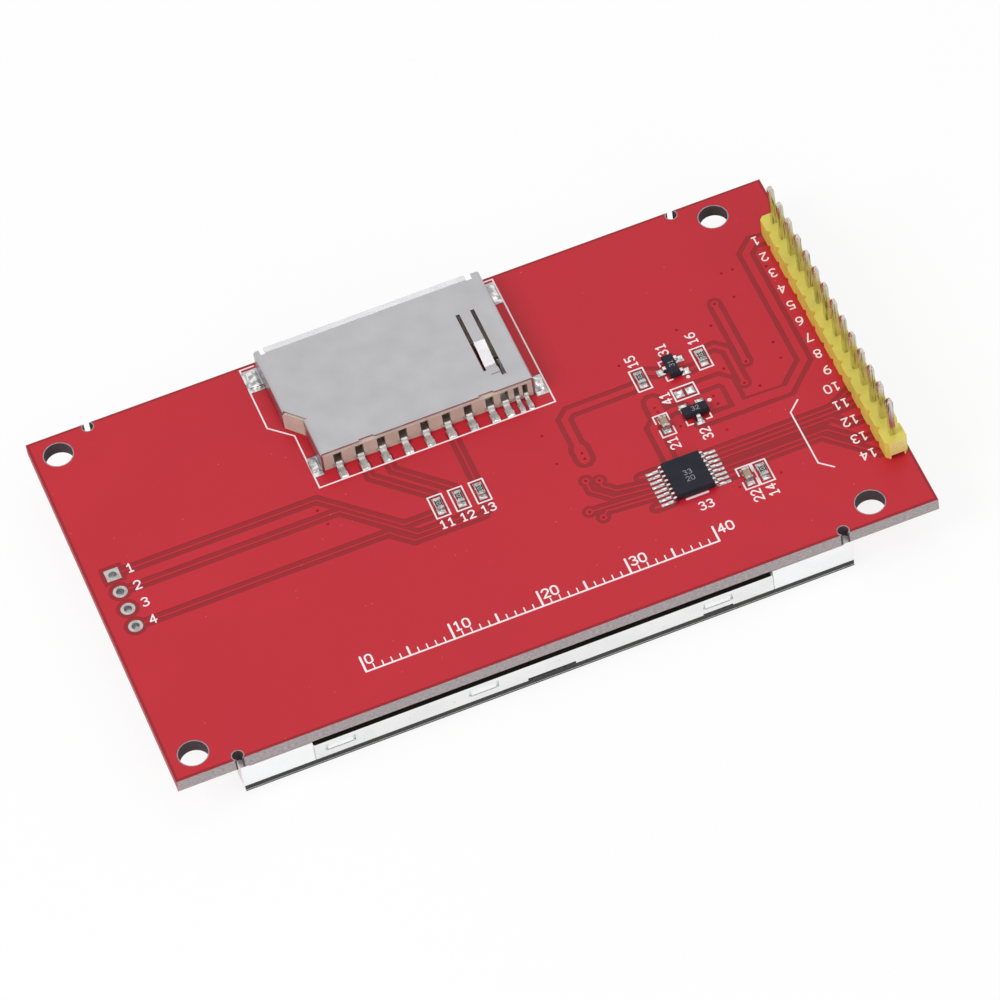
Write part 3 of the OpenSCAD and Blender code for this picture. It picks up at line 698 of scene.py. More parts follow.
def disc(centre: Point, radius: float, steps: int = 24) -> Outline:
    """A circle as an outline."""
    turn = np.linspace(0, 2 * math.pi, steps, endpoint=False)
    return np.c_[centre[0] + radius * np.cos(turn), centre[1] + radius * np.sin(turn)]


def rectangle(x0: float, x1: float, y0: float, y1: float) -> Outline:
    """A rectangle as an outline."""
    return np.array([(x0, y0), (x1, y0), (x1, y1), (x0, y1)], float)


def arc(centre: Point, radii: Point, start: float, end: float, steps: int = 8) -> list[Point]:
    """Points on an ellipse from one angle to another, in degrees."""
    turn = np.radians(np.linspace(start, end, steps + 1))
    return list(zip(centre[0] + radii[0] * np.cos(turn), centre[1] + radii[1] * np.sin(turn)))


class Role(IntFlag):
    """What an outline stands for: areas stay, less their openings, and less their moats off the tracks."""

    AREA = 1
    OPENING = 2
    MOAT = 4
    TRACK = 8


@dataclass
class Artwork:
    """Outlines in plan, cut against each other into one flat sheet."""

    outlines: Outlines = field(default_factory=list)
    roles: list[Role] = field(default_factory=list)

    def add(self, role: Role, *outlines: Outline) -> None:
        """Adds outlines that play one role."""
        self.outlines += outlines
        self.roles += [role] * len(outlines)

    def sheet(self, shapes: Shapes, low: float, high: float) -> None:
        """Adds what stays of the areas as a closed sheet.

        All outlines are triangulated together. Each triangle has the roles of the outlines
        round it, and the edges that only one kept triangle uses become the walls.

        Args:
            shapes: Takes the mesh.
            low: Height of the underside.
            high: Height of the upper side.
        """
        starts = np.cumsum([0, *map(len, self.outlines)])
        rows = [list(range(a, b)) for a, b in zip(starts[:-1], starts[1:])]
        corners = [Vector(p) for p in np.vstack(self.outlines)]
        points, _, tris, _, _, origin = delaunay_2d_cdt(corners, [], rows, 1, 1e-6)
        roles = np.array([np.bitwise_or.reduce([int(self.roles[i]) for i in o] or [0]) for o in origin])
        area, opening, moat, track = (roles & role > 0 for role in Role)
        tri = np.array(tris)[area & ~opening & (~moat | track)]
        flat = np.array([tuple(p) for p in points])
        a, b, c = (flat[tri[:, i]] for i in range(3))
        turned = (b - a)[:, 0] * (c - a)[:, 1] < (b - a)[:, 1] * (c - a)[:, 0]
        tri[turned] = tri[turned][:, ::-1]
        used, index = np.unique(tri, return_inverse=True)
        tri, flat, n = index.reshape(-1, 3), flat[used], len(used)
        edges = np.vstack([tri[:, [0, 1]], tri[:, [1, 2]], tri[:, [2, 0]]])
        code = edges[:, 0] * n + edges[:, 1]
        rim = edges[~np.isin(code, edges[:, 1] * n + edges[:, 0])]
        start, end = rim[:, 0], rim[:, 1]
        walls = np.vstack([np.c_[start + n, end + n, end], np.c_[start + n, end, start]])
        body = np.vstack([np.c_[flat, np.full(n, high)], np.c_[flat, np.full(n, low)]])
        shapes.add(body, np.vstack([tri, tri[:, ::-1] + n, walls]))


# ---- lettering


class Align(Enum):
    """Where a line of numerals stands from its place."""

    LEFT = 0.0
    MIDDLE = 0.5


@cache
def numeral_strokes() -> dict[str, list[list[Point]]]:
    """The strokes of each numeral, in a cell 0.6 wide and 1 high.

    Returns:
        A list of strokes for each numeral, where a stroke is a line of points.
    """
    six = [
        arc((0.62, 0.32), (0.62, 0.66), 100, 180),
        arc((0.3, 0.29), (0.3, 0.29), 0, 180),
        arc((0.3, 0.29), (0.3, 0.29), 180, 360),
    ]
    return {
        "0": [
            [(0, 0.3), (0, 0.7), *arc((0.3, 0.7), (0.3, 0.3), 180, 0), (0.6, 0.3)],
            [(0.6, 0.3), *arc((0.3, 0.3), (0.3, 0.3), 0, -180)],
        ],
        "1": [[(0.1, 0.78), (0.32, 1)], [(0.32, 1), (0.32, 0)], [(0.12, 0), (0.52, 0)]],
        "2": [[*arc((0.3, 0.72), (0.3, 0.28), 170, -35), (0, 0)], [(0, 0), (0.6, 0)]],
        "3": [arc((0.28, 0.77), (0.28, 0.23), 150, -90), arc((0.28, 0.27), (0.32, 0.27), 90, -150)],
        "4": [[(0.44, 0), (0.44, 1)], [(0.44, 1), (0, 0.3)], [(0, 0.3), (0.62, 0.3)]],
        "5": [[(0.55, 1), (0.05, 1)], [(0.05, 1), (0.03, 0.56)], arc((0.28, 0.31), (0.32, 0.31), 135, -145)],
        "6": six,
        "7": [[(0, 1), (0.6, 1)], [(0.6, 1), (0.2, 0)]],
        "8": [
            arc(middle, radii, start, start + 180)
            for middle, radii in (((0.3, 0.76), (0.25, 0.24)), ((0.3, 0.26), (0.3, 0.26)))
            for start in (0, 180)
        ],
        "9": [[(0.6 - x, 1 - y) for x, y in stroke] for stroke in six],
    }


@dataclass(frozen=True)
class Lettering:
    """A size of printed numerals: their height, the width of a stroke, and their pitch over the height."""

    height: float
    stroke: float
    pitch: float = 0.86

    def outlines(self, text: str, place: Point, turn: float = 0, align: Align = Align.MIDDLE) -> Outlines:
        """The outlines of a number.

        Args:
            text: Its numerals.
            place: Where it stands: half-way up, and at its left end or in the middle.
            turn: Degrees that it is turned by.
            align: Which of the two is at its place.

        Returns:
            One outline per stroke.
        """
        cos, sin = math.cos(math.radians(turn)), math.sin(math.radians(turn))
        spin = np.array([(cos, sin), (-sin, cos)])
        length = self.pitch * (len(text) - 1) + 0.6
        made = []
        for i, sign in enumerate(text):
            shift = np.array((self.pitch * i - align.value * length, -0.5))
            for stroke in numeral_strokes()[sign]:
                path = (np.array(stroke) + shift) * self.height @ spin + np.array(place[:2])
                made.append(ribbon(path, self.stroke, 4))
        return made


# ---- the circuit board


@dataclass(frozen=True)
class Anchors:
    """The boxes of what tracks, solder and print go to, each row in the order of solid_boxes."""

    pins: list[Box]
    holes: list[Box]
    contacts: list[Box]
    resistors: list[Box]
    capacitors: list[Box]
    leads: list[Box]
    lands: list[Box]
    transistor: Box
    regulator: Box
    controller: Box

    @classmethod
    def read(cls) -> "Anchors":
        """Reads them from the frame's solids.

        Returns:
            The anchors.
        """
        rows = (
            "header_pins", "side_barrels", "socket_contacts", "resistor_ceramics",
            "capacitor_ceramics", "touch_controller_leads", "solder_lands",
        )
        bodies = ("transistor_body", "regulator_body", "touch_controller_body")
        return cls(*map(solid_boxes, rows), *map(node_box, bodies))

    def numbered(self) -> dict[str, Box]:
        """The parts by their printed numbers.

        Returns:
            The resistors under 11 to 16, the capacitors under 21 and 22, the chips under 31 to 33.
        """
        chips = (self.transistor, self.regulator, self.controller)
        numbers = ("11", "12", "13", "15", "16", "14", "21", "22", "31", "32", "33")
        return dict(zip(numbers, (*self.resistors, *self.capacitors, *chips)))


@dataclass(frozen=True)
class BoardPlan:
    """The board's outline, the heights of its laminate's faces, and its holes with their bare rings."""

    box: Box
    bottom: float
    top: float
    mounts: FourHoles
    notches: FourHoles

    @classmethod
    def read(cls) -> "BoardPlan":
        """Reads them from the frame: the mounting holes from its record, the rest from its solids.

        The notches break the long edges a little inside the ends of the display.

        Returns:
            The plan.
        """
        bare_ring, notch_r, notch_in, from_left, from_right = 0.12, 0.6, 0.52, 0.1, 0.8
        box, screen, barrels = map(node_box, ("circuit_board", "display_frame", "header_barrels"))
        land = node_box("solder_lands").size[2]
        mount = next(m for m in frame["record"]["mounts"] if m["name"] == "mounting_holes")
        sizes = mount["dims"]
        spacing = sizes["spacing_x_mm"] / 2, sizes["spacing_y_mm"] / 2
        left, right = screen.lo[0] + from_left, screen.hi[0] - from_right
        return cls(
            box,
            barrels.lo[2] + land,
            barrels.hi[2] - land,
            FourHoles(mount["pos_m"][0] / MM, *spacing, sizes["hole_r_mm"] + bare_ring),
            FourHoles((left + right) / 2, (right - left) / 2, box.hi[1] - notch_in, notch_r + bare_ring),
        )


@dataclass
class BareBoard:
    """The laminate and its plated holes and lands."""

    plan: BoardPlan

    def build(self) -> None:
        """Dresses the board and its plating."""
        plan = self.plan
        core = Laminate(
            "mask_on_laminate", "solder_mask", (0.32, 0.013, 0.021), 0.3,
            bottom=plan.bottom, top=plan.top, end=plan.box.hi[0], holes=(plan.mounts, plan.notches),
        )
        dress(core, "circuit_board")
        dress(PAD, "header_barrels", "side_barrels", "solder_lands", "flex_lands")


class Side(Enum):
    """A face of the board, and which way it looks along Z."""

    TOP = 1
    BOTTOM = -1


@dataclass(frozen=True)
class Track:
    """A copper track under the lacquer, with the moat that parts it from the copper round it."""

    path: tuple[Point, ...]
    width: float = 0.2
    moat: float = 0.58

    @classmethod
    def bus(cls, *path: Point) -> "Track":
        """A track of the touch controller's bus, with a narrow moat."""
        return cls(path, 0.22, 0.52)

    def draw(self, art: Artwork) -> None:
        """Adds the moat and the track."""
        art.add(Role.MOAT, ribbon(self.path, self.width + 2 * self.moat))
        art.add(Role.TRACK, ribbon(self.path, self.width))


@dataclass
class CopperWork:
    """Lacquered copper on both faces, cut by moats and openings, with its vias."""

    anchors: Anchors
    plan: BoardPlan
    height: float = 0.03
    sunk: float = 0.002
    edge: float = 0.3
    clear: float = 0.07
    ring_moat: float = 0.4
    via: float = 0.16
    via_land: float = 0.42
    screen_inset: float = 2.5
    landed: tuple[Point, ...] = (
        (31.8, 10.5), (31.8, 1.5), (30.55, -1.2),
        (10.15, -6.33), (11.5, -6.9), (9.0, -10.44), (10.06, -11.77),
    )
    plain: tuple[Point, ...] = (
        (-17.3, 2.5), (-16.9, 0.3), (8.15, 1.5), (8.2, -2.8), (11.17, -2.6), (11.17, -3.44), (19.2, 6.95),
        (20.5, -0.2), (20.6, -0.9), (22.1, -3.8), (26.4, -6.4), (26.9, -2.65), (26.85, -1.45), (29.3, 1.6),
        (26.7, 8.9), (30.3, 7.8), (34.1, 10.5), (35.5, 2.7), (35.4, 0.3), (31.9, -2.3), (34.1, 14.2),
        (35.4, 14.2), (38.9, 13.0), (24.7, -14.3), (29.4, -14.4),
    )

    def build(self) -> None:
        """Builds the copper of both faces, and the vias' dimples."""
        for side in Side:
            self.face(side)
        self.dimples()

    def face(self, side: Side) -> None:
        """Builds the lacquered copper of one face, a thin sheet with the plating clear of it.

        Args:
            side: The face.
        """
        plan, first, others = self.plan, self.anchors.holes[0], self.anchors.holes[1:]
        moat = self.clear + self.ring_moat
        barrel = node_box("header_barrels").size[0] / 2
        art = Artwork()
        art.add(Role.AREA, plan.box.outline(-self.edge))
        art.add(Role.OPENING, *plan.mounts.circles(40), *plan.notches.circles(24))
        art.add(Role.OPENING, *[disc(p.spot(), barrel + self.clear) for p in self.anchors.pins])
        art.add(Role.OPENING, *[disc(p.spot(), p.size[0] / 2 + self.clear) for p in others])
        art.add(Role.MOAT, *[disc(p.spot(), p.size[0] / 2 + moat) for p in others])
        art.add(Role.MOAT, first.outline(moat))
        art.add(Role.OPENING, first.outline(self.clear))
        if side is Side.TOP:
            self.top_artwork(art)
            level = plan.top
        else:
            self.bottom_artwork(art)
            level = plan.bottom
        low, high = sorted((level - side.value * self.sunk, level + side.value * self.height))
        shapes = Shapes()
        art.sheet(shapes, low, high)
        shapes.piece(f"mask_over_copper_{side.name.lower()}", MASK)

    def top_artwork(self, art: Artwork) -> None:
        """Adds the component side's lands, tracks and vias.

        Args:
            art: Takes them.
        """
        art.add(Role.OPENING, *[land.outline(self.clear) for land in self.anchors.lands])
        for track in self.tracks():
            track.draw(art)
        for spot in self.landed:
            art.add(Role.MOAT, disc(spot, self.via_land + self.ring_moat))
            art.add(Role.TRACK, disc(spot, self.via_land))
            art.add(Role.OPENING, disc(spot, self.via + 0.01, 12))
        art.add(Role.OPENING, *[disc(spot, self.via + 0.01, 12) for spot in self.plain])

    def bottom_artwork(self, art: Artwork) -> None:
        """Leaves the place behind the display bare, and leads a track from each pin towards it.

        Args:
            art: Takes the outlines.
        """
        screen, far = node_box("display_frame"), self.plan.box.hi[1]
        left, right = screen.lo[0] + self.screen_inset, screen.hi[0] - self.screen_inset
        art.add(Role.OPENING, rectangle(left, right, -far, far))
        for pin in self.anchors.pins:
            Track((pin.spot(), pin.spot(-4.5), (right - 1, pin.y * 0.8))).draw(art)

    def tracks(self) -> list[Track]:
        """The tracks of the component side, from part to part.

        Returns:
            First those of the card socket, then those between the parts, then the controller's bus.
        """
        a = self.anchors
        r11, r12, r13, r15, r16, _ = a.resistors
        hole, pin = [h.spot() for h in a.holes], [p.spot() for p in a.pins]
        contact = [c.x for c in a.contacts]
        left = sorted((b for b in a.leads if b.x < a.controller.x), key=lambda b: b.y)
        right = sorted((b for b in a.leads if b.x > a.controller.x), key=lambda b: b.y)
        via = self.landed
        end = 0.72
        return [
            Track((hole[0], (-16.9, hole[0][1]), (-9.55, -3.4), (r11.x, -3.4))),
            Track((hole[1], (-15.2, hole[1][1]), (-8.6, -5.2), (r12.x, -5.2), r12.spot(0, -end))),
            Track((
                hole[3], (-11.4, hole[3][1]), (-9.2, -5.9),
                (r13.x - 0.8, -5.9), (r13.x, -5.2), r13.spot(0, -end),
            )),
            Track(((contact[1], 6.4), (contact[1], 4.3), (r11.x - 0.1, -0.95), r11.spot(0, end))),
            Track(((contact[2], 6.4), (contact[2], 4.2), (r12.x - 0.1, -0.9), r12.spot(0, end))),
            Track(((contact[5], 6.4), (contact[5], 0), r13.spot(0, end))),
            Track((r15.spot(0, -end), (12.0, r15.y - 0.78), (11.15, r15.y - 1.6), (11.15, -1.2)), 0.7),
            Track(((11.15, -1.9), (11.15, -3.5)), 1.3),
            Track((r15.spot(0, end), (21.6, r15.y + 0.6), a.transistor.spot(-1.3)), 0.6),
            Track((a.transistor.spot(1.2, -0.95), r16.spot(-0.6, -0.85), r16.spot(0, -end)), 0.4),
            Track((r16.spot(0, end), (29.5, r16.y + 0.9), (30.55, r16.y - 0.15), via[2]), 0.45),
            Track(((24.9, 0.42), (28.2, 0.42), (28.95, -0.35), (28.95, -4.2)), 1.0),
            Track(((24.3, -4.2), (34.4, -4.2), (37.55, -1.05), (37.55, 15.6), (38.9, 16.9), pin[0]), 0.8),
            Track(((28.95, -3.9), (31.5, -4.0), (34.2, -4.1)), 1.15, 0.3),
            Track(via[:2], 0.6),
            Track(((20.6, 0.55), (20.6, -1.2)), 1.5),
            Track(((20.0, -2.1), (19.35, -2.8), (19.35, -9.0)), 0.8),
            Track(((21.2, -1.55), (22.2, -1.3), (23.3, -1.5)), 0.6),
            Track.bus(via[3], (10.15, -7.9), (12.0, -9.75), left[4].spot()),
            Track.bus(via[4], (11.5, -7.8), (12.7, -9.0), left[5].spot()),
            Track.bus(via[5], left[3].spot()),
            Track.bus(via[6], (10.72, -11.1), left[2].spot()),
            Track((left[7].spot(), (15.6, left[7].y)), 0.4),
            Track((left[0].spot(), (15.6, left[0].y)), 0.4),
            Track.bus(right[7].spot(), (37.6, right[7].y), pin[9]),
            Track.bus(right[6].spot(), (38.6, right[6].y), pin[10]),
            Track.bus(right[5].spot(), (37.2, right[5].y), (38.6, pin[11][1]), pin[11]),
            Track.bus(right[3].spot(), (36.0, right[3].y), (38.9, pin[12][1]), pin[12]),
            Track.bus(right[2].spot(), (35.2, right[2].y), (39.9, pin[13][1]), pin[13]),
            Track((a.capacitors[1].spot(0, end), (25.95, -12.4), (24.2, -12.4)), 0.4),
        ]

    def dimples(self) -> None:
        """Builds the dark dimple in each via.

        It is four rings of 12 points, closed by flat ends: up the wall from the laminate, in over
        the rim, and down into the dimple. Each ring has its own radius and height.
        """
        shapes = Shapes()
        steps = 12
        turn = np.linspace(0, 2 * math.pi, steps, endpoint=False)
        radii = np.array([self.via, self.via, 0.1, 0.04])[:, None]
        rise = np.array([-self.sunk, 0.024, 0.01, 0.006])[:, None]
        at = np.arange(radii.size * steps).reshape(-1, steps)
        ahead = np.roll(at, -1, axis=1)
        quads = np.stack([at[:-1], ahead[:-1], ahead[1:], at[1:]], axis=-1).reshape(-1, 4)
        for x, y in (*self.landed, *self.plain):
            height = np.broadcast_to(self.plan.top + rise, at.shape)
            rings = np.stack([x + radii * np.cos(turn), y + radii * np.sin(turn), height], axis=-1)
            shapes.add(rings.reshape(-1, 3), quads, at[-1:], at[:1, ::-1])
        shapes.piece("via_dimples", BORE, smooth=True)


@dataclass
class InkPrint:
    """The white print: frames, corner marks, numbers, the socket's outline, a bracket and a rule."""

    anchors: Anchors
    plan: BoardPlan
    height: float = 0.042
    line: float = 0.17
    half_x: float = 0.78
    half_y: float = 1.55
    jumper: tuple[float, float] = (24.28, 0.45)
    large: Lettering = Lettering(1.12, 0.17)
    small: Lettering = Lettering(1.05, 0.17)
    rule: Lettering = Lettering(1.15, 0.2)
    art: Artwork = field(default_factory=Artwork)

    def build(self) -> None:
        """Draws everything and makes it one piece."""
        self.row_numbers()
        self.part_frames()
        self.corner_marks()
        self.part_numbers()
        self.socket_outline()
        self.stroke([(34.8, -5.9), (33.45, -7.2), (33.45, -14.9), (34.8, -16.15)])
        self.millimetre_rule()
        shapes = Shapes()
        self.art.sheet(shapes, self.plan.top, self.plan.top + self.height)
        shapes.piece("printed_ink", INK)

    def stroke(self, path: Iterable[Point], width: float | None = None, cap: int = 5) -> None:
        """Draws a line, of the print's own width if no other is given."""
        self.art.add(Role.AREA, ribbon(path, width or self.line, cap))

    def row_numbers(self) -> None:
        """Numbers the header's pins, which read from the far side, and the side holes."""
        for i, pin in enumerate(self.anchors.pins):
            self.art.add(Role.AREA, *self.large.outlines(str(i + 1), pin.spot(-1.92, 0.35), 180, Align.LEFT))
        for i, hole in enumerate(self.anchors.holes):
            self.art.add(Role.AREA, *self.large.outlines(str(i + 1), hole.spot(1.65, 0.1), 0, Align.LEFT))

    def frame_lines(self, x: float, y: float, half_x: float, half_y: float) -> None:
        """Draws a rectangle as two bent lines.

        Args:
            x: Its middle along X.
            y: Its middle along Y.
            half_x: Half its length along X.
            half_y: Half its length along Y.
        """
        x0, x1, y0, y1 = x - half_x, x + half_x, y - half_y, y + half_y
        self.stroke([(x0, y0), (x1, y0), (x1, y1)])
        self.stroke([(x1, y1), (x0, y1), (x0, y0)])

    def part_frames(self) -> None:
        """Draws a frame round each resistor and the jumper, and two brackets round each capacitor."""
        for box in self.anchors.resistors:
            self.frame_lines(box.x, box.y, self.half_x, self.half_y)
        for box in self.anchors.capacitors:
            x0, x1 = box.x - self.half_x, box.x + self.half_x
            for s in (-1, 1):
                inner, outer = box.y + s * 0.5, box.y + s * self.half_y
                self.stroke([(x0, inner), (x0, outer), (x1, outer), (x1, inner)])
        self.frame_lines(*self.jumper, 1.3, 0.9)

    def corner_marks(self) -> None:
        """Draws the corner marks and pin dots of the two small chips, and the bar of the large one."""
        small, wide, big = self.anchors.transistor, self.anchors.regulator, self.anchors.controller
        arm = 0.6
        for s in (-1, 1):
            x, y = small.lo[0] - 0.35, small.y + s * 1.42
            self.stroke([(x, y - s * arm), (x, y), (x + arm, y)])
            x, y = wide.x + s * 1.38, wide.lo[1] - 0.62
            self.stroke([(x, y + arm), (x, y), (x - s * arm, y)])
            y = wide.hi[1] + 0.55
            self.stroke([(x, y), (x - s * arm * 1.3, y)], self.line * 1.5)
        self.art.add(Role.AREA, disc(small.spot(1.2, -1.8), 0.22, 16), disc(wide.spot(2.0, 1.05), 0.25, 16))
        y = big.lo[1] - 0.1
        self.stroke([(big.x - 1.2, y), (big.x + 1.2, y)], 0.28)

    def part_numbers(self) -> None:
        """Prints each part's number beside it, so far across, and turned by degrees."""
        places = {
            "11": (-2.55, 0), "12": (-2.55, 0), "13": (-2.55, 0), "14": (-2.75, 90), "15": (2.75, 90),
            "16": (2.95, 90), "21": (-2.75, 90), "22": (-2.75, 90), "31": (2.9, 90), "32": (-3.1, 90),
            "33": (-4.15, 0),
        }
        along = {"33": 0.4}
        for number, box in self.anchors.numbered().items():
            across, turn = places[number]
            spot = box.spot(along.get(number, 0), across)
            self.art.add(Role.AREA, *self.small.outlines(number, spot, turn))
        x, y = self.jumper
        self.art.add(Role.AREA, *self.small.outlines("41", (x - 2.18, y), 90))

    def socket_outline(self) -> None:
        """Draws the line round the card socket and its solder tabs, in at the keyed corner."""
        shell, housing = node_box("socket_shell"), node_box("socket_housing")
        left, right = shell.lo[0] - 0.15, shell.hi[0] + 0.25
        near, far = shell.lo[1] - 1.95, housing.hi[1] + 1.8
        key = left + 2.35
        self.stroke([
            (left + 1.6, far), (left, far), (left, near + 10.25), (key, near + 7.95),
            (key, near), (right, near), (right, far), (right - 1.3, far),
        ])

    def millimetre_rule(self) -> None:
        """Draws a rule with a tick each millimetre, longer at 5, and longest and numbered at each 10."""
        foot, start, length = -20.1, -20, 40
        self.stroke([(start, foot), (start + length, foot)], 0.2)
        for i in range(length + 1):
            tall = 2.1 if i % 10 == 0 else 1.2 if i % 5 == 0 else 0.7
            self.stroke([(start + i, foot), (start + i, foot + tall)], 0.14 if i % 5 else 0.24, 3)
        for i in range(0, length + 1, 10):
            place = (start + i + 0.45, foot + 1.5)
            self.art.add(Role.AREA, *self.rule.outlines(str(i), place, 0, Align.LEFT))


# ---- parts on the board


def dome(box: Box, rise: float, steps: int, seed: float) -> tuple[np.ndarray, np.ndarray]:
    """Solder that has run over a land.

    Over the land's own rectangle, u and v from -1 to 1, the height is the rise times
    (1 - u^4)(1 - v^4), rippled by two slow waves. The corners are pinched in a little, and
    walls and a floor close it from below.

    Args:
        box: The land.
        rise: Height in the middle.
        steps: Quads along each side.
        seed: Shifts the ripples.

    Returns:
        Corners and quads.
    """
    sunk, deep = 0.004, 0.012
    line = np.sin(np.linspace(-0.5, 0.5, steps + 1) * math.pi)
    u, v = np.meshgrid(line, line, indexing="ij")
    wave = 1 + 0.3 * np.sin(2.3 * u + seed) * np.cos(1.9 * v + 2 * seed) + 0.14 * np.sin(5 * u * v + seed)
    height = rise * (1 - u**4) * (1 - v**4) * wave
    pinch = 1 - 0.06 * (u * v) ** 2
    x, y = (middle + size / 2 * w * pinch for middle, size, w in zip(box.spot(), box.size, (u, v)))
    points = np.stack([x, y, box.hi[2] - sunk + height], axis=-1).reshape(-1, 3)
    floor = points.copy()
    floor[:, 2] = box.hi[2] - deep
    count = len(points)
    at = np.arange(count).reshape(u.shape)
    quads = np.stack([at[:-1, :-1], at[1:, :-1], at[1:, 1:], at[:-1, 1:]], axis=-1).reshape(-1, 4)
    rim = np.concatenate([at[:-1, 0], at[-1, :-1], at[:0:-1, -1], at[0, :0:-1]])
    ahead = np.roll(rim, -1)
    walls = np.c_[rim + count, ahead + count, ahead, rim]
    return np.vstack([points, floor]), np.vstack([quads, quads[:, ::-1] + count, walls])


@dataclass
class SolderWork:
    """Solder on the lands: low domes, higher on the socket's tabs, and thin under the leads."""

    lands: list[Box]
    tab_rise: float = 0.34
    jumper_rise: float = 0.12
    chip_rise: float = 0.13
    lead_rise: float = 0.05
    tab_land: tuple[float, float] = (2.0, 1.05)
    jumper_land: tuple[float, float] = (1.0, 0.95)
    chip_land: float = 0.8

    def rise(self, land: Box) -> float:
        """How high the solder stands on a land, from the land's size.

        Args:
            land: The land.

        Returns:
            The height of its dome.
        """
        long, short = max(land.size[:2]), min(land.size[:2])
        if long > self.tab_land[0] and short > self.tab_land[1]:
            return self.tab_rise
        if np.allclose((long, short), self.jumper_land, atol=0.01):
            return self.jumper_rise
        return self.chip_rise if short > self.chip_land else self.lead_rise

    def build(self) -> None:
        """Builds one piece of the high domes and one of the thin, and dresses the solder in the frame."""
        thick, thin = Shapes(), Shapes()
        for i, land in enumerate(self.lands):
            rise, seed = self.rise(land), i * 1.7
            if rise > self.lead_rise:
                thick.add(*dome(land, rise, 18, seed))
            else:
                thin.add(*dome(land, rise, 8, seed))
        thick.piece("solder_on_lands", SOLDER, smooth=True)
        thin.piece("solder_under_leads", THIN, smooth=True)
        dress(SOLDER, "chip_solder", "socket_solder", "header_solder")


@dataclass
class PinHeader:
    """The yellow strip, sawn off at its ends, and its square pins."""

    def build(self) -> None:
        """Dresses the strip and the pins."""
        dress(replace(YELLOW, sawn=node_box("header_housing").hi[1]), "header_housing")
        dress(PIN, "header_pins")


@dataclass
class CardSocket:
    """The card socket: satin shell, tan insulator and bright springs."""

    def build(self) -> None:
        """Dresses the socket's pieces."""
        dress(STEEL, "socket_shell")
        dress(TAN, "socket_housing")
        dress(SPRING, "socket_contacts", "socket_switch_springs")


@dataclass(frozen=True)
class Mark:
    """A number on the upper face of a part, turned by degrees and lowered from its middle."""

    box: Box
    text: str
    size: Lettering
    turn: float = 0
    lowered: float = 0.0

    def outlines(self) -> Outlines:
        """The number's strokes in plan."""
        return self.size.outlines(self.text, self.box.spot(0, -self.lowered), self.turn)


@dataclass
class SmallParts:
    """Chips, resistors and capacitors with their marks."""

    anchors: Anchors
    sunk: float = 0.002
    lift: float = 0.004

    def build(self) -> None:
        """Dresses the parts and marks them with plain numbers."""
        dress(EPOXY, "touch_controller_body", "regulator_body", "transistor_body")
        dress(TIN, "resistor_ends", "capacitor_ends")
        dress(LEAD, "touch_controller_leads", "regulator_leads", "transistor_leads")
        dress(ALUMINA, "resistor_ceramics")
        dress(GLAZE, "resistor_coats")
        dress(FIRED, "capacitor_ceramics")
        wide, narrow, tiny = Lettering(0.62, 0.07), Lettering(0.55, 0.07), Lettering(0.42, 0.06)
        chips = [
            Mark(self.anchors.controller, "33", wide, lowered=-0.1),
            Mark(self.anchors.controller, "20", wide, lowered=0.8),
            Mark(self.anchors.transistor, "31", narrow, 90),
            Mark(self.anchors.regulator, "32", narrow),
        ]
        self.mark("chip_numbers", MARK, chips)
        codes = [Mark(box, "103", tiny, 90) for box in solid_boxes("resistor_coats")]
        self.mark("resistor_codes", CODE, codes)

    def mark(self, name: str, finish: Finish, marks: list[Mark]) -> None:
        """Prints marks as one piece, each a thin sheet on its part.

        Args:
            name: The piece's name.
            finish: Its finish.
            marks: The marks.
        """
        shapes = Shapes()
        for mark in marks:
            art = Artwork()
            art.add(Role.AREA, *mark.outlines())
            art.sheet(shapes, mark.box.hi[2] - self.sunk, mark.box.hi[2] + self.lift)
        shapes.piece(name, finish)


# ---- the display


@dataclass
class DisplayStack:
    """The display under the board: metal back, white frame, and the layers inside."""

    # film is the thickness of the black sheet of painted shade on the metal back
    film: float = 0.04
    sunk: float = 0.002
    margin: float = 0.12

    def build(self) -> None:
        """Builds the black film of painted shade and dresses every layer, from the board down."""
        self.build_film()
        dress(FOAM, "foam_tape")
        dress(BACK, "display_back")
        dress(WHITE, "display_frame")
        dress(FILM, "reflector", "diffuser")
        dress(ACRYLIC, "light_guide")
        dress(AMBER, "led_strip", "display_flex", "touch_tail")
        dress(LAMP, "leds")
        dress(PRISM, "lower_prism_sheet", "upper_prism_sheet")
        dress(TAPE, "rim_tape", "touch_gasket")
        dress(POLARIZER, "rear_polarizer", "front_polarizer")
        dress(GLASS, "transistor_glass", "filter_glass", "touch_glass")
        dress(SILICON, "driver_chip")
        dress(ADHESIVE, "touch_spacer")
        dress(TOUCH, "touch_film")

    def build_film(self) -> None:
        """Lays a thin black film over the flat of the metal back, under the foam tape: painted shade for the
        dark gap between the back and the board.
        """
        back, art, shapes = node_box("display_back"), Artwork(), Shapes()
        art.add(Role.AREA, back.outline(-self.margin))
        art.sheet(shapes, back.hi[2] - self.sunk, back.hi[2] + self.film)
        # a black sheet of painted shade, standing in for the shadow in the gap under the board
        shapes.piece("black_film_on_back", TAPE)


# ---- the studio


@dataclass(frozen=True)
class Softbox:
    """A square lamp that points at the middle of the module, and may show in metal."""

    name: str
    place: tuple[float, float, float]
    side: float
    radiance: float
    mirrored: bool = False

    def build(self) -> None:
        """Hangs the lamp, whose power is pi times its area times its radiance."""
        light = bpy.data.lights.new(self.name, "AREA")
        light.size = self.side
        light.energy = math.pi * self.side**2 * self.radiance
        lamp = bpy.data.objects.new(self.name, light)
        bpy.context.scene.collection.objects.link(lamp)
        lamp.location = self.place
        lamp.visible_glossy = self.mirrored
        lamp.rotation_euler = (-Vector(self.place)).to_track_quat("-Z", "Y").to_euler()


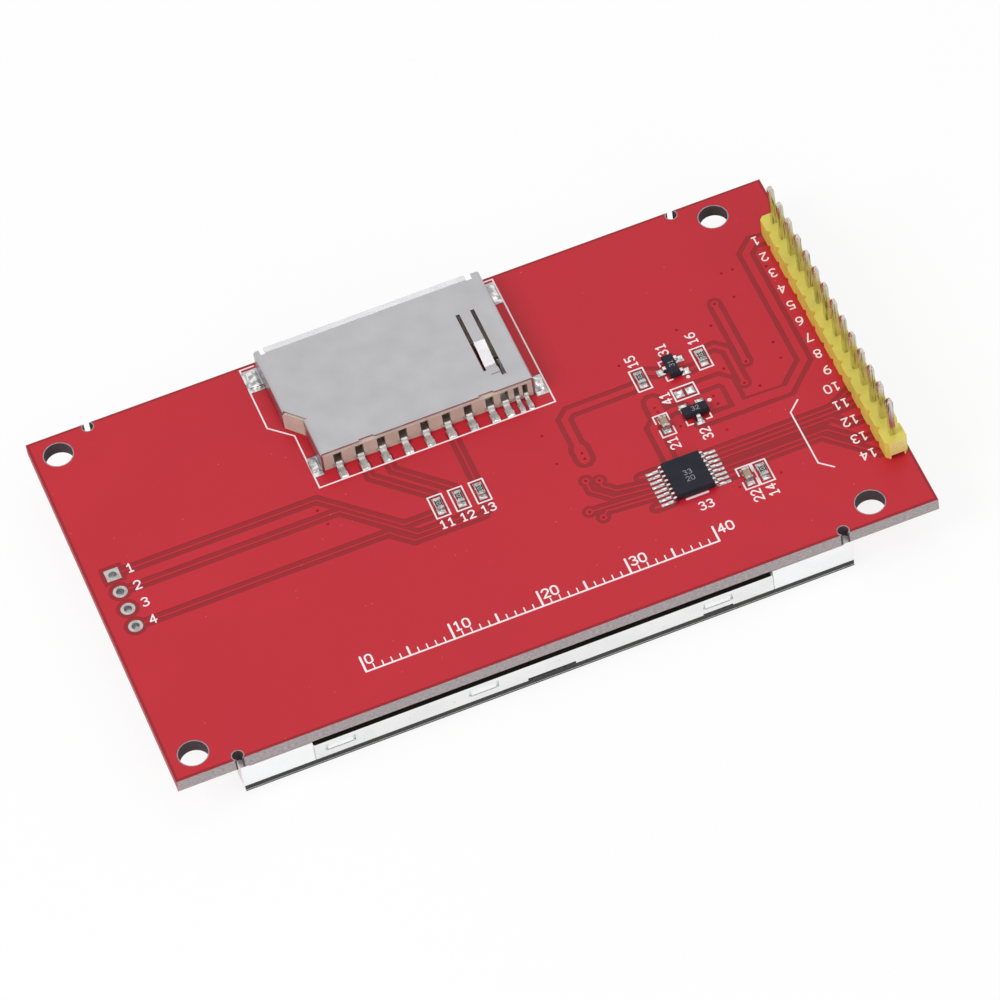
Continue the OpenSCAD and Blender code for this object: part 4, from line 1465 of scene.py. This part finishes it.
@dataclass
class Studio:
    """White floor, soft lamps and a long lens. The camera's angles are in degrees."""

    lens: float = 249.8
    eye: tuple[float, float, float] = (-0.10601, -0.45913, 0.57845)
    azimuth: float = -13.2432
    elevation: float = 50.8118
    roll: float = -9.8601
    fill: float = 0.59
    glow: float = 0.86
    floor_half: float = 3.0
    floor_gap: float = 0.0002
    lamps: tuple[Softbox, ...] = (
        Softbox("small", (0.105, 0.16, 0.67), 0.2, 2.4, True),
        Softbox("front", (0.1, -0.6, 0.3), 0.5, 1.3),
        Softbox("key", (-0.6, -0.1, 0.55), 0.35, 6.5),
    )

    def build(self) -> None:
        """Builds the camera, lamps, world and floor."""
        self.camera()
        for lamp in self.lamps:
            lamp.build()
        self.world()
        self.floor()
        bpy.context.scene.view_settings.view_transform = "Standard"

    def camera(self) -> None:
        """Places the camera: rolled about its own axis, tilted down, then turned about Z."""
        data = bpy.data.cameras.new("camera")
        data.lens = self.lens
        data.clip_start, data.clip_end = 0.05, 20
        camera = bpy.data.objects.new("camera", data)
        bpy.context.scene.collection.objects.link(camera)
        turns = ((self.azimuth, "Z"), (90 - self.elevation, "X"), (self.roll, "Z"))
        about_z, tilt, roll = (Matrix.Rotation(math.radians(angle), 4, axis) for angle, axis in turns)
        camera.matrix_world = Matrix.Translation(self.eye) @ about_z @ tilt @ roll
        bpy.context.scene.camera = camera

    def seen(self, paint: Paint) -> Signal:
        """1 for rays that show the background: from the camera, a mirror or through glass."""
        camera = paint.node("ShaderNodeLightPath", output="Is Camera Ray")
        return camera.either(camera.beside("Is Glossy Ray")).either(camera.beside("Is Transmission Ray"))

    def world(self) -> None:
        """Grey light all round, and white where the world itself is seen."""
        paint = Paint("world", bpy.data.worlds)
        level = self.fill + self.seen(paint) * (1 - self.fill)
        glow = paint.node("ShaderNodeBackground", None, {"Color": (1, 1, 1, 1), "Strength": level})
        paint.finish(glow, "ShaderNodeOutputWorld")
        bpy.context.scene.world = paint.block

    def floor(self) -> None:
        """Lays a white floor just under the touch film, which keeps the module's shadow."""
        mesh = bpy.data.meshes.new("floor")
        half, low = self.floor_half, cad_box[0].z - self.floor_gap
        corners = [(-half, -half, low), (half, -half, low), (half, half, low), (-half, half, low)]
        mesh.from_pydata(corners, [], [(0, 1, 2, 3)])
        floor = bpy.data.objects.new("floor", mesh)
        bpy.context.scene.collection.objects.link(floor)
        paint = Paint("floor_white")
        colour = paint.mix(paint.noise(0.02, 2), (0.95, 0.95, 0.95), (1.0, 1.0, 1.0))
        matt = paint.node("ShaderNodeBsdfDiffuse", None, {"Color": colour})
        glow = paint.node("ShaderNodeEmission", None, {"Color": (1, 1, 1, 1), "Strength": 1.0})
        share = self.seen(paint) * self.glow
        paint.finish(paint.node("ShaderNodeMixShader", None, {0: share, 1: matt, 2: glow}))
        mesh.materials.append(paint.block)


def main() -> None:
    """Builds the module's look, part by part, and the studio round it."""
    logging.basicConfig(level=logging.INFO, format="%(message)s")
    anchors, plan = Anchors.read(), BoardPlan.read()
    parts = (
        BareBoard(plan),
        CopperWork(anchors, plan),
        InkPrint(anchors, plan),
        SolderWork(anchors.lands),
        PinHeader(),
        CardSocket(),
        SmallParts(anchors),
        DisplayStack(),
        Studio(),
    )
    for part in parts:
        part.build()
        log.info("finished %s", type(part).__name__)


if __name__ == "__main__":
    main()
